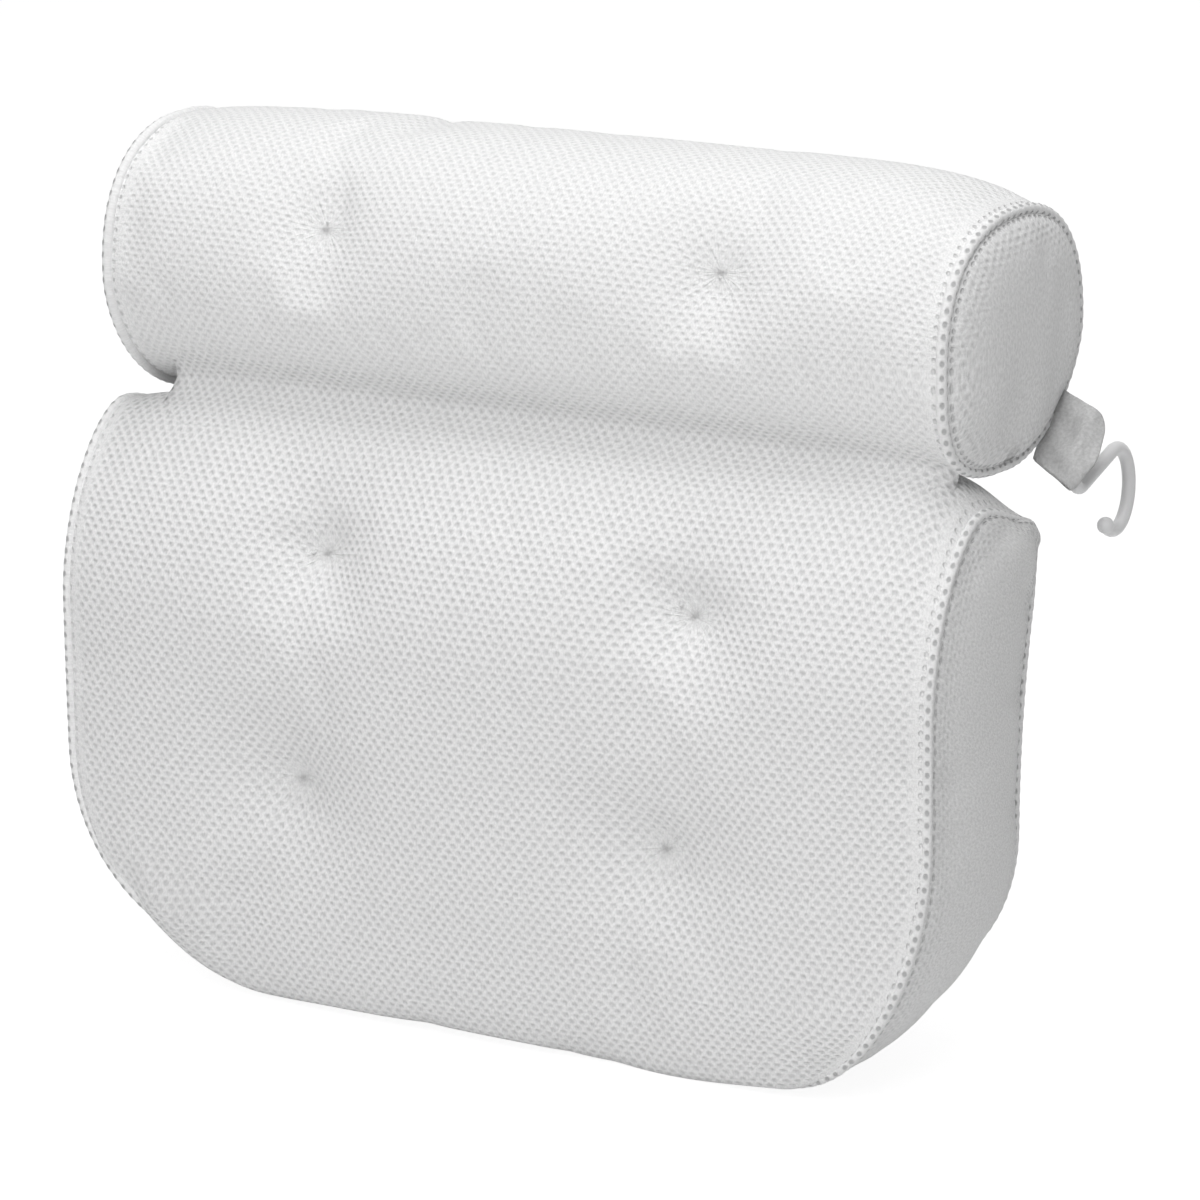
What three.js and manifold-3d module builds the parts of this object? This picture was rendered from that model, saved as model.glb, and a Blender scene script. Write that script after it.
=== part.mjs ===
// A two-part bath pillow: a rounded head roll hinged by a fabric web to a tufted back pad.
// Both are padded bodies in thick white spacer mesh. Suction cups on the rear hold them to a tub,
// and a plastic hook in a sewn strap on the roll's right end hangs the pillow up to dry.
// Millimetres. x runs across the pillow, y from its front to the wall, z up.
// Heights are counted from the top of the pad, and the whole is set on its rear face at the end.
import * as THREE from "three";
import { mergeVertices } from "three/addons/utils/BufferGeometryUtils.js";
import Module from "manifold-3d";

// Cloth, seams and fits
const clothThickness = 3.6; // spacer mesh
const fitGap = 0.3; // between pieces that touch
const pipingRadius = 2.3; // bead along each seam
const fillingDrawIn = 7; // how far the filling's edges stay back from the seams

// Back pad, measured along its front seam
const padWidth = 362;
const padDrop = 209; // from its top down to the bottom seam
const padDepth = 84; // from the front seam to the flat rear face
const padCornerRadius = 70; // lower corners of the front seam
const padFoldDepth = 40; // soft fold from the front over to the top
const padFoldHeight = 72;
const padTopFall = 17; // from the top down to the rear top seam
const padCrown = 15; // how far the middle of the front swells past its seam
const padGussetCrown = 5; // swell of the side strip
const padRearWidth = 350;
const padRearTopWidth = 359;
const padRearLift = 17; // how far the rear bottom seam lies above the front one
const padRearCornerRadius = 62;
const gussetTipStop = 14; // side strip and front bead end this far short of the rear top seam

// Sewn tufts
const tuftDepth = 15; // how far a tie draws the cloth in
const tuftReach = 23; // how far around it the cloth follows
const tuftSpacing = 156; // between the pad's left and right ties
const upperTuftRun = 167; // pad ties, along the cloth up from the bottom seam
const lowerTuftRun = 81;
const rollTuftSpacing = 166;
const rollTuftDepth = 12;
const rollTieLean = 153; // where its ties start, in degrees from the rear over the top
const rollTwist = 3; // how far each tie is turned from the middle of the roll
const tieRadius = 0.9;
const tackRadius = 2.2; // the knot that shows in the dimple
const tackHeight = 1.2;

// Head roll
const rollLength = 350; // seam to seam
const rollHalfDepth = 52.5; // its end seam, front to rear
const rollHalfHeight = 47;
const rollCentreY = -12;
const rollCentreZ = 49.5;
const rollTopCrown = 15; // how far its middle swells past the end seams
const rollFrontCrown = 8;
const rollRearCrown = 2;
const rollBottomPress = 5; // how far the pad presses the roll's underside up
const rollEndCrown = 8;

// Web that joins roll and pad
const webLength = 310;
const webThickness = 2.4;

// Suction cups and their sewn eyelets
const cupRimRadius = 27.5;
const cupLipWidth = 1.5; // flat ring that meets the wall
const cupHeight = 17; // cloth to wall
const cupWall = 2.2;
const cupBossRadius = 9;
const cupNeckRadius = 4;
const cupHeadRadius = 7;
const cupHeadHeight = 2.6;
const eyeletRadius = 13;
const eyeletThickness = 1.2;
const padCupInset = 55; // from the rear panel's edge to a cup's middle
const padUpperCupDrop = 62;
const padLowerCupDrop = 150;
const rollCupInset = 63; // from the roll's end to a cup's middle

// Hang strap and hook on the right end
const strapThickness = 1.4;
const strapReach = 14.3; // from the seam out to the hook's rod
const strapTunnelLength = 24;
const strapTunnelY = 14.5;
const strapTunnelZ = 12;
const strapRootUpperAngle = -33; // places on the end seam, in degrees from the rear
const strapRootLowerAngle = -74;
const hookRodRadius = 2.5;
const hookBallRadius = 3.1;
const hookTailLength = 9; // inside the strap
const hookBendRadius = 4.6;
const hookShankLength = 25;
const hookMouthDepth = 11.5; // half width and half height of the open bend
const hookMouthHeight = 15;
const tunnelAngle = 48; // lean of the strap's tunnel, in degrees from level
const shankAngle = 18;
const hookTipAngle = -128; // where the open bend ends, in degrees from the rear

// Counts
const cornerSteps = 5;
const beadSides = 6;
const rodSides = 8;
const boreSides = 8;
const cupSides = 16;

// Shares
const rollFullnessShare = 0.86; // below 1 the roll's section is squarer than an ellipse
const crownPowerShares = 3;
const foldBendShares = [0.55, 0.45]; // where the front's fold bends, up its height and along its depth
const topBendShares = [0.7, 0.2, 0.73]; // the same for the slope behind it, along, along and down
const cupLiftShares = [0.3, 0.52, 0.8]; // cup's wall, from boss to rim
const cupSpreadShares = [0.1, 0.5, 0.86];
const tuftColumnShare = 0.8; // widest part of a half width at which the ties' column may lie

const wasm = await Module();
wasm.setup();

const whiteMesh = new THREE.MeshStandardMaterial({ color: 0xf2f2f2, roughness: 0.9, metalness: 0 });
const whiteCloth = new THREE.MeshStandardMaterial({ color: 0xeeeeee, roughness: 0.95, metalness: 0 });
const whiteFibre = new THREE.MeshStandardMaterial({ color: 0xfafafa, roughness: 1, metalness: 0 });
const whiteThread = new THREE.MeshStandardMaterial({ color: 0xf6f6f6, roughness: 0.7, metalness: 0 });
const whitePlastic = new THREE.MeshStandardMaterial({ color: 0xf4f4f4, roughness: 0.35, metalness: 0 });
const clearRubber = new THREE.MeshStandardMaterial({ color: 0xe6eaec, roughness: 0.2, metalness: 0 });

const quarterTurn = Math.PI / 2;
const radians = THREE.MathUtils.degToRad;
const mix = THREE.MathUtils.lerp;
const vec = (x, y, z) => new THREE.Vector3(x, y, z);

// Evenly spaced values through a list of marks, with a number of steps for each stretch
function stations(marks, steps) {
  const out = [marks[0]];
  steps.forEach((count, i) => {
    for (let k = 1; k <= count; k++) out.push(mix(marks[i], marks[i + 1], k / count));
  });
  return out;
}

// The points round a grid's rim: last row's first point, down the first column, along row 0, up
// the last column, and back along the last row
function rim(grid) {
  const top = grid.length - 1;
  const side = grid[0].length - 1;
  const out = [];
  for (let i = top; i > 0; i--) out.push(grid[i][0]);
  for (let j = 0; j < side; j++) out.push(grid[0][j]);
  for (let i = 0; i < top; i++) out.push(grid[i][side]);
  for (let j = side; j > 0; j--) out.push(grid[top][j]);
  return out;
}

// One closed body from triangles of points, its faces turned outwards
function closedGeometry(triangles) {
  const volume = triangles.reduce(
    (sum, [a, b, c]) => sum + a.dot(new THREE.Vector3().crossVectors(b, c)), 0);
  const flat = triangles.flatMap(([a, b, c]) => (volume < 0 ? [a, c, b] : [a, b, c]));
  const geometry = new THREE.BufferGeometry().setFromPoints(flat);
  return mergeVertices(geometry, fitGap / 1000);
}

// Splits a cell along its shorter diagonal
function quad(out, a, b, c, d) {
  if (a.distanceTo(c) < b.distanceTo(d)) out.push([a, b, c], [a, c, d]);
  else out.push([a, b, d], [b, c, d]);
}

function gridFaces(out, grid, turned) {
  for (let i = 0; i + 1 < grid.length; i++)
    for (let j = 0; j + 1 < grid[i].length; j++) {
      const [a, b, c, d] = [grid[i][j], grid[i][j + 1], grid[i + 1][j + 1], grid[i + 1][j]];
      if (turned) quad(out, a, d, c, b);
      else quad(out, a, b, c, d);
    }
}

function bandFaces(out, loops) {
  for (let i = 0; i + 1 < loops.length; i++)
    loops[i].forEach((point, k) => {
      const next = (k + 1) % loops[i].length;
      quad(out, point, loops[i + 1][k], loops[i + 1][next], loops[i][next]);
    });
}

function fanFaces(out, loop, turned) {
  const middle = loop.reduce((sum, p) => sum.add(p), vec(0, 0, 0)).divideScalar(loop.length);
  loop.forEach((point, k) => {
    const next = loop[(k + 1) % loop.length];
    out.push(turned ? [middle, next, point] : [middle, point, next]);
  });
}

// A sheet with two faces made of like grids, closed round its rim
function sheet(outer, inner) {
  const out = [];
  gridFaces(out, outer, false);
  gridFaces(out, inner, true);
  bandFaces(out, [rim(outer), rim(inner)]);
  return closedGeometry(out);
}

// A body skinned over like loops, its two ends closed by fans
function skinned(loops) {
  const out = [];
  bandFaces(out, loops);
  fanFaces(out, loops[0], false);
  fanFaces(out, loops[loops.length - 1], true);
  return closedGeometry(out);
}

// A round rod along a line of points; a closed line gives a ring
function rod(points, radius, sides, ring = false) {
  const count = points.length;
  const at = (k) => points[ring ? (k + count) % count : THREE.MathUtils.clamp(k, 0, count - 1)];
  let across = null;
  const loops = points.map((point, k) => {
    const ahead = at(k + 1).clone().sub(at(k - 1)).normalize();
    if (!across) {
      across = vec(0, 0, 1).cross(ahead);
      if (across.lengthSq() < 0.01) across = vec(0, 1, 0).cross(ahead);
    }
    across = across.clone().addScaledVector(ahead, -across.dot(ahead)).normalize();
    const up = new THREE.Vector3().crossVectors(ahead, across);
    const r = Array.isArray(radius) ? radius[k] : radius;
    return [...Array(sides).keys()].map((s) => {
      const turn = (s / sides) * 2 * Math.PI;
      return point.clone()
        .addScaledVector(across, r * Math.cos(turn))
        .addScaledVector(up, r * Math.sin(turn));
    });
  });
  if (!ring) return skinned(loops);
  const out = [];
  bandFaces(out, [...loops, loops[0]]);
  return closedGeometry(out);
}

// Leaves out the points of a line that lie straight between their neighbours
function straightened(points, ring) {
  return points.filter((point, k) => {
    const count = points.length;
    if (!ring && (k === 0 || k === count - 1)) return true;
    const back = point.clone().sub(points[(k + count - 1) % count]).normalize();
    const on = points[(k + 1) % count].clone().sub(point).normalize();
    return back.dot(on) < 1 - 1e-6;
  });
}

function solid(geometry) {
  const bare = geometry.clone();
  bare.deleteAttribute("normal");
  bare.deleteAttribute("uv");
  const merged = mergeVertices(bare, fitGap / 1000);
  return new wasm.Manifold(new wasm.Mesh({
    numProp: 3,
    vertProperties: merged.attributes.position.array,
    triVerts: new Uint32Array(merged.index.array),
  }));
}

function geometryOf(body) {
  const mesh = body.getMesh();
  return new THREE.BufferGeometry()
    .setAttribute("position", new THREE.BufferAttribute(mesh.vertProperties, 3))
    .setIndex(new THREE.BufferAttribute(mesh.triVerts, 1));
}

function cut(geometry, tools) {
  return geometryOf(tools.reduce((body, tool) => body.subtract(solid(tool)), solid(geometry)));
}

// A straight round cutter between two points, its flats no nearer than the radius
function bore(from, to, radius) {
  return rod([from, to], radius / Math.cos(Math.PI / boreSides), boreSides);
}

const pillow = new THREE.Group();
const padGroup = new THREE.Group();
const rollGroup = new THREE.Group();
pillow.add(padGroup, rollGroup);

function piece(group, name, geometry, material) {
  const mesh = new THREE.Mesh(geometry, material);
  mesh.name = name;
  group.add(mesh);
  return mesh;
}

// Where cloth edges stop short of the bead in a seam, and where the filling begins
const seamInset = pipingRadius + fitGap;
const innerInset = seamInset + clothThickness;
const fillingDepth = clothThickness + fitGap;

// The pad's front and top follow one profile, from the bottom seam up the front, round the soft
// fold and over the top to the rear seam; its length counts as the cloth's run
const padTopRear = padDepth - padFoldDepth;
const padProfile = new THREE.Path();
padProfile.moveTo(-padDepth, -padDrop);
padProfile.lineTo(-padDepth, -padFoldHeight);
padProfile.bezierCurveTo(-padDepth, -padFoldHeight * foldBendShares[0],
  -padTopRear - padFoldDepth * foldBendShares[1], 0, -padTopRear, 0);
padProfile.bezierCurveTo(-padTopRear * topBendShares[0], 0,
  -padTopRear * topBendShares[1], -padTopFall * topBendShares[2], 0, -padTopFall);
padProfile.arcLengthDivisions = 400;
const profileLength = padProfile.getLength();
const profileAt = (run) => padProfile.getPointAt(THREE.MathUtils.clamp(run / profileLength, 0, 1));

// The run at which the profile reaches a given depth on its top
function runAtDepth(y) {
  let low = padDrop;
  let high = profileLength;
  for (let k = 0; k < 40; k++) {
    const middle = (low + high) / 2;
    if (profileAt(middle).x < y) low = middle;
    else high = middle;
  }
  return low;
}
const topRun = runAtDepth(-padTopRear);
const hingeRun = runAtDepth(rollCentreY);

// Half the width of the front cloth at a run, drawn in from the seam by an inset
function padHalfWidth(run, inset) {
  const arm = padCornerRadius - inset;
  const full = padWidth / 2;
  if (run < padCornerRadius) {
    const rise = Math.max(0, Math.min(arm, padCornerRadius - run));
    return full - padCornerRadius + Math.sqrt(arm * arm - rise * rise);
  }
  const taper = THREE.MathUtils.smoothstep(run, topRun, profileLength);
  return full - inset - taper * (padWidth - padRearTopWidth) / 2;
}

const padTies = [-1, 1].flatMap((side) => [
  { name: side < 0 ? "left" : "right", row: "upper", x: side * tuftSpacing / 2, run: upperTuftRun },
  { name: side < 0 ? "left" : "right", row: "lower", x: side * tuftSpacing / 2, run: lowerTuftRun },
]);

// How much a tie at a distance draws the cloth in
const drawnIn = (distance, depth) => depth / Math.pow(1 + (distance / tuftReach) ** 2, 1.5);
const fullness = (share) => 1 - Math.min(1, Math.abs(share)) ** crownPowerShares;

// A point of the pad's front cloth, swollen between its seams and drawn in at the ties
function padFront(x, run) {
  const point = profileAt(run);
  const step = profileLength / 400;
  const ahead = profileAt(run + step).sub(profileAt(run - step)).normalize();
  const middle = profileLength / 2;
  let swell = padCrown * fullness(x / padHalfWidth(run, 0)) * fullness((run - middle) / middle);
  for (const tie of padTies)
    swell -= drawnIn(Math.hypot(x - tie.x, run - tie.run), tuftDepth);
  return vec(x, point.x - ahead.y * swell, point.y + ahead.x * swell);
}

// The height of the pad's swollen top at a given place on it
function padTopAt(x, y) {
  let low = topRun;
  let high = profileLength;
  for (let k = 0; k < 40; k++) {
    const middle = (low + high) / 2;
    if (padFront(x, middle).y < y) low = middle;
    else high = middle;
  }
  return padFront(x, low).z;
}

// A surface's point moved inwards along its normal; the steps find the normal
const clothStep = clothThickness / 10;
const turnStep = radians(0.5);
function inwards(surface, a, b, depth, stepA = clothStep) {
  const alongA = surface(a + stepA, b).sub(surface(a - stepA, b));
  const alongB = surface(a, b + clothStep).sub(surface(a, b - clothStep));
  return surface(a, b).addScaledVector(alongA.cross(alongB).normalize(), -depth);
}

// Rows and columns of the pad's front cloth, denser round the lower corners
function padRuns(inset) {
  const arm = padCornerRadius - inset;
  const corner = stations([0, quarterTurn], [cornerSteps])
    .map((turn) => padCornerRadius - arm * Math.cos(turn));
  const rest = stations([
    padCornerRadius, lowerTuftRun, lowerTuftRun + tuftReach, upperTuftRun - tuftReach, upperTuftRun,
    upperTuftRun + tuftReach, hingeRun, profileLength - inset,
  ], [1, 2, 3, 2, 2, 4, 2]);
  return [...corner, ...rest.slice(1)];
}

function padAcross(half) {
  const edge = Math.min(tuftSpacing / 2, half * tuftColumnShare);
  const out = Math.min(edge + tuftReach, (edge + half) / 2);
  const inner = edge - tuftReach;
  return stations([-half, -out, -edge, -inner, inner, edge, out, half], [3, 2, 2, 5, 2, 2, 3]);
}

function padFrontGrid(inset, depth) {
  return padRuns(inset).map((run) =>
    padAcross(padHalfWidth(run, inset)).map((x) => inwards(padFront, x, run, depth)));
}

// The rear outline's point that answers a rim point of the front grid
const rearBottom = -(padDrop - padRearLift);
function rearOutline(inset) {
  const arm = padRearCornerRadius - inset;
  return padRuns(0).map((run, i) => {
    const turn = quarterTurn * Math.min(1, i / cornerSteps);
    const share = Math.max(0, (run - padCornerRadius) / (profileLength - padCornerRadius));
    const half = mix(padRearWidth, padRearTopWidth, share * share) / 2;
    const z = i <= cornerSteps
      ? rearBottom + padRearCornerRadius - arm * Math.cos(turn)
      : mix(rearBottom + padRearCornerRadius, -padTopFall - inset, share);
    return padAcross(half - padRearCornerRadius + arm * Math.sin(turn)).map((x) => vec(x, 0, z));
  });
}

// Which way is outwards at each rim point of the side strip
function outwardAt(i, side) {
  const turn = quarterTurn * Math.min(1, i / cornerSteps);
  return vec(side * Math.sin(turn), 0, -Math.cos(turn));
}

const frontSeamGrid = padFrontGrid(0, 0);
const rearSeamGrid = rearOutline(0);

// The side strip's path: down the left side, along the bottom and up the right side
const stripPath = [];
{
  const top = frontSeamGrid.length - 1;
  const last = frontSeamGrid[0].length - 1;
  const stop = padRuns(0).findLastIndex((run) => run < profileLength - gussetTipStop);
  const add = (i, j, outward) =>
    stripPath.push({ front: frontSeamGrid[i][j], rear: rearSeamGrid[i][j], outward });
  for (let i = Math.min(stop, top); i > 0; i--) add(i, 0, outwardAt(i, -1));
  for (let j = 0; j <= last; j++) add(0, j, outwardAt(0, 0));
  for (let i = 1; i <= Math.min(stop, top); i++) add(i, last, outwardAt(i, 1));
}

// A point of the side strip, a share of the way from the front seam to the rear one
function stripPoint(station, share, depth) {
  const swell = padGussetCrown * 4 * share * (1 - share);
  return station.front.clone().lerp(station.rear, share)
    .addScaledVector(station.outward, swell - depth);
}

// The strip crosses a slanting seam at an angle, so its inset along the crossing is longer there
function crossing(k, seam) {
  const at = (n) => stripPath[THREE.MathUtils.clamp(n, 0, stripPath.length - 1)];
  const along = at(k + 1)[seam].clone().sub(at(k - 1)[seam]).normalize();
  const across = at(k).rear.clone().sub(at(k).front);
  return along.cross(across).length();
}

function stripGrid(inset, depth) {
  return stripPath.map((station, k) =>
    stations([inset / crossing(k, "front"), 1 - inset / crossing(k, "rear")], [4])
      .map((share) => stripPoint(station, share, depth)));
}

// Ties run from the dimple straight back to the rear face
function tie(from, to) {
  const length = from.distanceTo(to);
  const outline = [
    [0, 0], [tackRadius, 0], [tackRadius, tackHeight], [tieRadius, tackHeight],
    [tieRadius, length - tackHeight], [tackRadius, length - tackHeight], [tackRadius, length],
    [0, length],
  ].map(([r, z]) => new THREE.Vector2(r, z));
  const geometry = new THREE.LatheGeometry(outline, boreSides);
  const turn = new THREE.Quaternion()
    .setFromUnitVectors(vec(0, 1, 0), to.clone().sub(from).normalize());
  return geometry.applyQuaternion(turn).translate(from.x, from.y, from.z);
}

// The bores that a tie needs: one through everything, and a seat for each tack
function tieBores(from, to) {
  const along = to.clone().sub(from).normalize();
  const past = clothThickness;
  const seat = tackRadius + fitGap;
  const out = (point, by) => point.clone().addScaledVector(along, by);
  return [
    bore(out(from, -past), out(to, past), tieRadius + fitGap),
    bore(out(from, -past), out(from, tackHeight + fitGap), seat),
    bore(out(to, -tackHeight - fitGap), out(to, past), seat),
  ];
}

const padTieLines = padTies.map((t) => {
  const from = padFront(t.x, t.run);
  return { ...t, from, to: vec(t.x, 0, from.z) };
});
const padTieBores = padTieLines.flatMap(({ from, to }) => tieBores(from, to));

// Suction cups point to the wall along +y; their heads sit behind the cloth
const cupHeadBack = clothThickness + fitGap + cupHeadHeight;
const cupBossStart = eyeletThickness + 2 * fitGap;
function cupGeometry() {
  const inner = cupRimRadius - cupLipWidth;
  const rise = cupHeight - cupBossStart;
  const wallAt = (k) => [
    mix(cupBossRadius, cupRimRadius, cupSpreadShares[k]),
    cupBossStart + rise * cupLiftShares[k],
  ];
  const outside = [
    [0, -cupHeadBack], [cupHeadRadius, -cupHeadBack],
    [cupHeadRadius, -cupHeadBack + cupHeadHeight], [cupNeckRadius, -cupHeadBack + cupHeadHeight],
    [cupNeckRadius, cupBossStart], [cupBossRadius, cupBossStart],
    ...[0, 1, 2].map(wallAt), [cupRimRadius, cupHeight - cupLipWidth], [cupRimRadius, cupHeight],
  ];
  const inside = [
    [inner, cupHeight],
    ...[2, 1].map(wallAt).map(([r, z]) => [r - cupWall / 2, z + cupWall]),
    [0, cupBossStart + rise * cupLiftShares[0] + cupWall],
  ];
  const outline = [...outside, ...inside].map(([r, z]) => new THREE.Vector2(r, z));
  return new THREE.LatheGeometry(outline, cupSides);
}

function eyeletGeometry() {
  const inner = cupNeckRadius + fitGap;
  const outline = [
    [inner, fitGap], [eyeletRadius, fitGap], [eyeletRadius, fitGap + eyeletThickness],
    [inner, fitGap + eyeletThickness], [inner, fitGap],
  ].map(([r, z]) => new THREE.Vector2(r, z));
  return new THREE.LatheGeometry(outline, cupSides);
}

// Cloth hole for a cup's neck, and the pocket that its head needs in the filling
const cupClothBore = (at) =>
  bore(vec(at.x, at.y - innerInset, at.z), vec(at.x, at.y + innerInset, at.z), cupNeckRadius + fitGap);
const cupFillingPocket = (at) =>
  bore(vec(at.x, at.y - cupHeadBack - fitGap, at.z), vec(at.x, at.y + innerInset, at.z),
    cupHeadRadius + fitGap);
// Where the cloth is curved, the flat head presses a seat into its inner face
const cupHeadSeat = (at) =>
  bore(vec(at.x, at.y - cupHeadBack, at.z), vec(at.x, at.y - clothThickness, at.z),
    cupHeadRadius + fitGap);

const padCups = [-1, 1].flatMap((side) => [
  { name: (side < 0 ? "left" : "right") + "_upper", x: side * (padRearWidth / 2 - padCupInset), z: -padUpperCupDrop },
  { name: (side < 0 ? "left" : "right") + "_lower", x: side * (padRearWidth / 2 - padCupInset), z: -padLowerCupDrop },
]).map((cup) => ({ name: cup.name, at: vec(cup.x, 0, cup.z) }));

function addCup(group, name, at) {
  const cup = piece(group, name + "_cup", cupGeometry(), clearRubber);
  const eyelet = piece(group, name + "_eyelet", eyeletGeometry(), whiteCloth);
  cup.position.copy(at);
  eyelet.position.copy(at);
}

// Pad
{
  const front = sheet(padFrontGrid(seamInset, 0), padFrontGrid(innerInset, clothThickness));
  piece(padGroup, "pad_front_panel", cut(front, padTieBores), whiteMesh);

  const strip = [seamInset + fitGap, innerInset + fitGap];
  piece(padGroup, "pad_gusset", sheet(stripGrid(strip[0], 0), stripGrid(strip[1], clothThickness)),
    whiteMesh);

  const rearLoop = (inset, depth) => rim(rearOutline(inset)).map((p) => vec(p.x, -depth, p.z));
  const back = skinned([rearLoop(seamInset, 0), rearLoop(innerInset, clothThickness)]);
  const neckBores = padCups.map((cup) => cupClothBore(cup.at));
  piece(padGroup, "pad_back_panel", cut(back, [...padTieBores, ...neckBores]), whiteMesh);

  const frontLine = straightened(stripPath.map((station) => station.front), false);
  piece(padGroup, "pad_front_piping", rod(frontLine, pipingRadius, beadSides), whiteCloth);
  const rearLine = straightened(rim(rearSeamGrid), true);
  piece(padGroup, "pad_back_piping", rod(rearLine, pipingRadius, beadSides, true), whiteCloth);

  // The filling's sides swell to just short of the strip
  const frontGrid = padFrontGrid(fillingDrawIn, fillingDepth);
  const nearLoop = rim(frontGrid);
  const farLoop = rearLoop(fillingDrawIn, fillingDepth);
  const swell = padGussetCrown + (fillingDrawIn - fillingDepth) / 2;
  const top = frontGrid.length - 1;
  const outwardLoop = rim(frontGrid.map((row, i) => row.map((_, j) => {
    if (i === top) return vec(0, 0, 0);
    return outwardAt(i, Math.sign(j - (row.length - 1) / 2)).multiplyScalar(Math.min(1, (top - i) / 3));
  })));
  const between = [1 / 3, 2 / 3].map((share) => nearLoop.map((point, k) =>
    point.clone().lerp(farLoop[k], share)
      .addScaledVector(outwardLoop[k], swell * 4 * share * (1 - share))));
  const faces = [];
  gridFaces(faces, frontGrid, false);
  bandFaces(faces, [nearLoop, ...between, farLoop]);
  fanFaces(faces, farLoop, true);
  const pockets = padCups.map((cup) => cupFillingPocket(cup.at));
  piece(padGroup, "pad_filling", cut(closedGeometry(faces), [...padTieBores, ...pockets]), whiteFibre);

  padTieLines.forEach((t) =>
    piece(padGroup, "pad_tie_" + t.name + "_" + t.row, tie(t.from, t.to), whiteThread));
  padCups.forEach((cup) => addCup(padGroup, "pad_" + cup.name, cup.at));
}

// The roll's section at a turn, in radians from its rear over its top, swollen towards its middle
function rollSection(x, turn, drawIn) {
  const swell = fullness(2 * x / rollLength);
  const [c, s] = [Math.cos(turn), Math.sin(turn)];
  const halfDepth = rollHalfDepth - drawIn + swell * (c < 0 ? rollFrontCrown : rollRearCrown);
  const halfHeight = rollHalfHeight - drawIn + swell * (s > 0 ? rollTopCrown : -rollBottomPress);
  const bowed = (value) => Math.sign(value) * Math.abs(value) ** rollFullnessShare;
  return vec(x, rollCentreY + halfDepth * bowed(c), rollCentreZ + halfHeight * bowed(s));
}

// The ties lie on a line through the roll, from upper front to lower rear
const tieTurn = (x) => radians(rollTieLean + rollTwist * 2 * x / rollTuftSpacing);
const rollTies = [-1, 1].map((side) => {
  const x = side * rollTuftSpacing / 2;
  return { name: side < 0 ? "left" : "right", seat: rollSection(x, tieTurn(x), 0), x };
});
const rollAxis = vec(0, rollCentreY, rollCentreZ);

function rollSkin(turn, x) {
  const point = rollSection(x, turn, 0);
  const towards = vec(x, rollAxis.y, rollAxis.z).sub(point).normalize();
  for (const t of rollTies)
    point.addScaledVector(towards, drawnIn(point.distanceTo(t.seat), rollTuftDepth));
  return point;
}

// The turn at which the roll's cloth edge meets the web, on either side of it
function webTurn(x, side, depth) {
  const reach = webThickness / 2 + fitGap;
  const half = side > 0 ? rollHalfDepth + rollRearCrown : rollHalfDepth + rollFrontCrown;
  return -quarterTurn + side * Math.asin((reach / (half - depth)) ** (1 / rollFullnessShare));
}

const tieTurnReach = tuftReach / rollHalfDepth;
const rollMarks = (x, depth) => [
  webTurn(x, 1, depth), tieTurn(x) - Math.PI, 0, quarterTurn, tieTurn(x) - tieTurnReach, tieTurn(x),
  tieTurn(x) + tieTurnReach, webTurn(x, -1, depth) + 2 * Math.PI,
];
const rollSteps = [4, 2, 5, 2, 2, 2, 5];
function rollColumns(inset) {
  const [tuft, half] = [rollTuftSpacing / 2, rollLength / 2];
  const reach = tuftReach;
  return stations([
    -half + inset, -tuft - reach, -tuft, -tuft + reach, tuft - reach, tuft, tuft + reach, half - inset,
  ], [3, 2, 2, 5, 2, 2, 3]);
}

function rollGrid(inset, depth) {
  return rollColumns(inset).map((x) => stations(rollMarks(x, 0), rollSteps)
    .map((turn) => inwards(rollSkin, turn, x, depth, turnStep)));
}

const rollCups = [-1, 1].map((side) => {
  const x = side * (rollLength / 2 - rollCupInset);
  const nearest = Math.abs(x) - eyeletRadius;
  return { name: side < 0 ? "left" : "right", at: vec(x, rollSection(nearest, 0, 0).y, rollCentreZ) };
});

const endTurns = stations(rollMarks(rollLength / 2, 0), rollSteps);

// A ring of the roll's end cloth, shrunk to a share of its seam and bulged outwards
function endRing(side, share, inset, depth) {
  const bulge = rollEndCrown * (1 - share * share);
  return endTurns.map((turn) => {
    const p = rollSection(rollLength / 2, turn, inset);
    return vec(side * (rollLength / 2 + bulge - depth),
      mix(rollAxis.y, p.y, share), mix(rollAxis.z, p.z, share));
  });
}

const ringShares = [0.3, 0.65, 1];
const rollTieLines = rollTies.map((t) => ({
  name: t.name,
  from: rollSkin(tieTurn(t.x), t.x),
  to: rollSkin(tieTurn(t.x) - Math.PI, t.x),
}));
const rollTieBores = rollTieLines.flatMap(({ from, to }) => tieBores(from, to));

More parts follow.
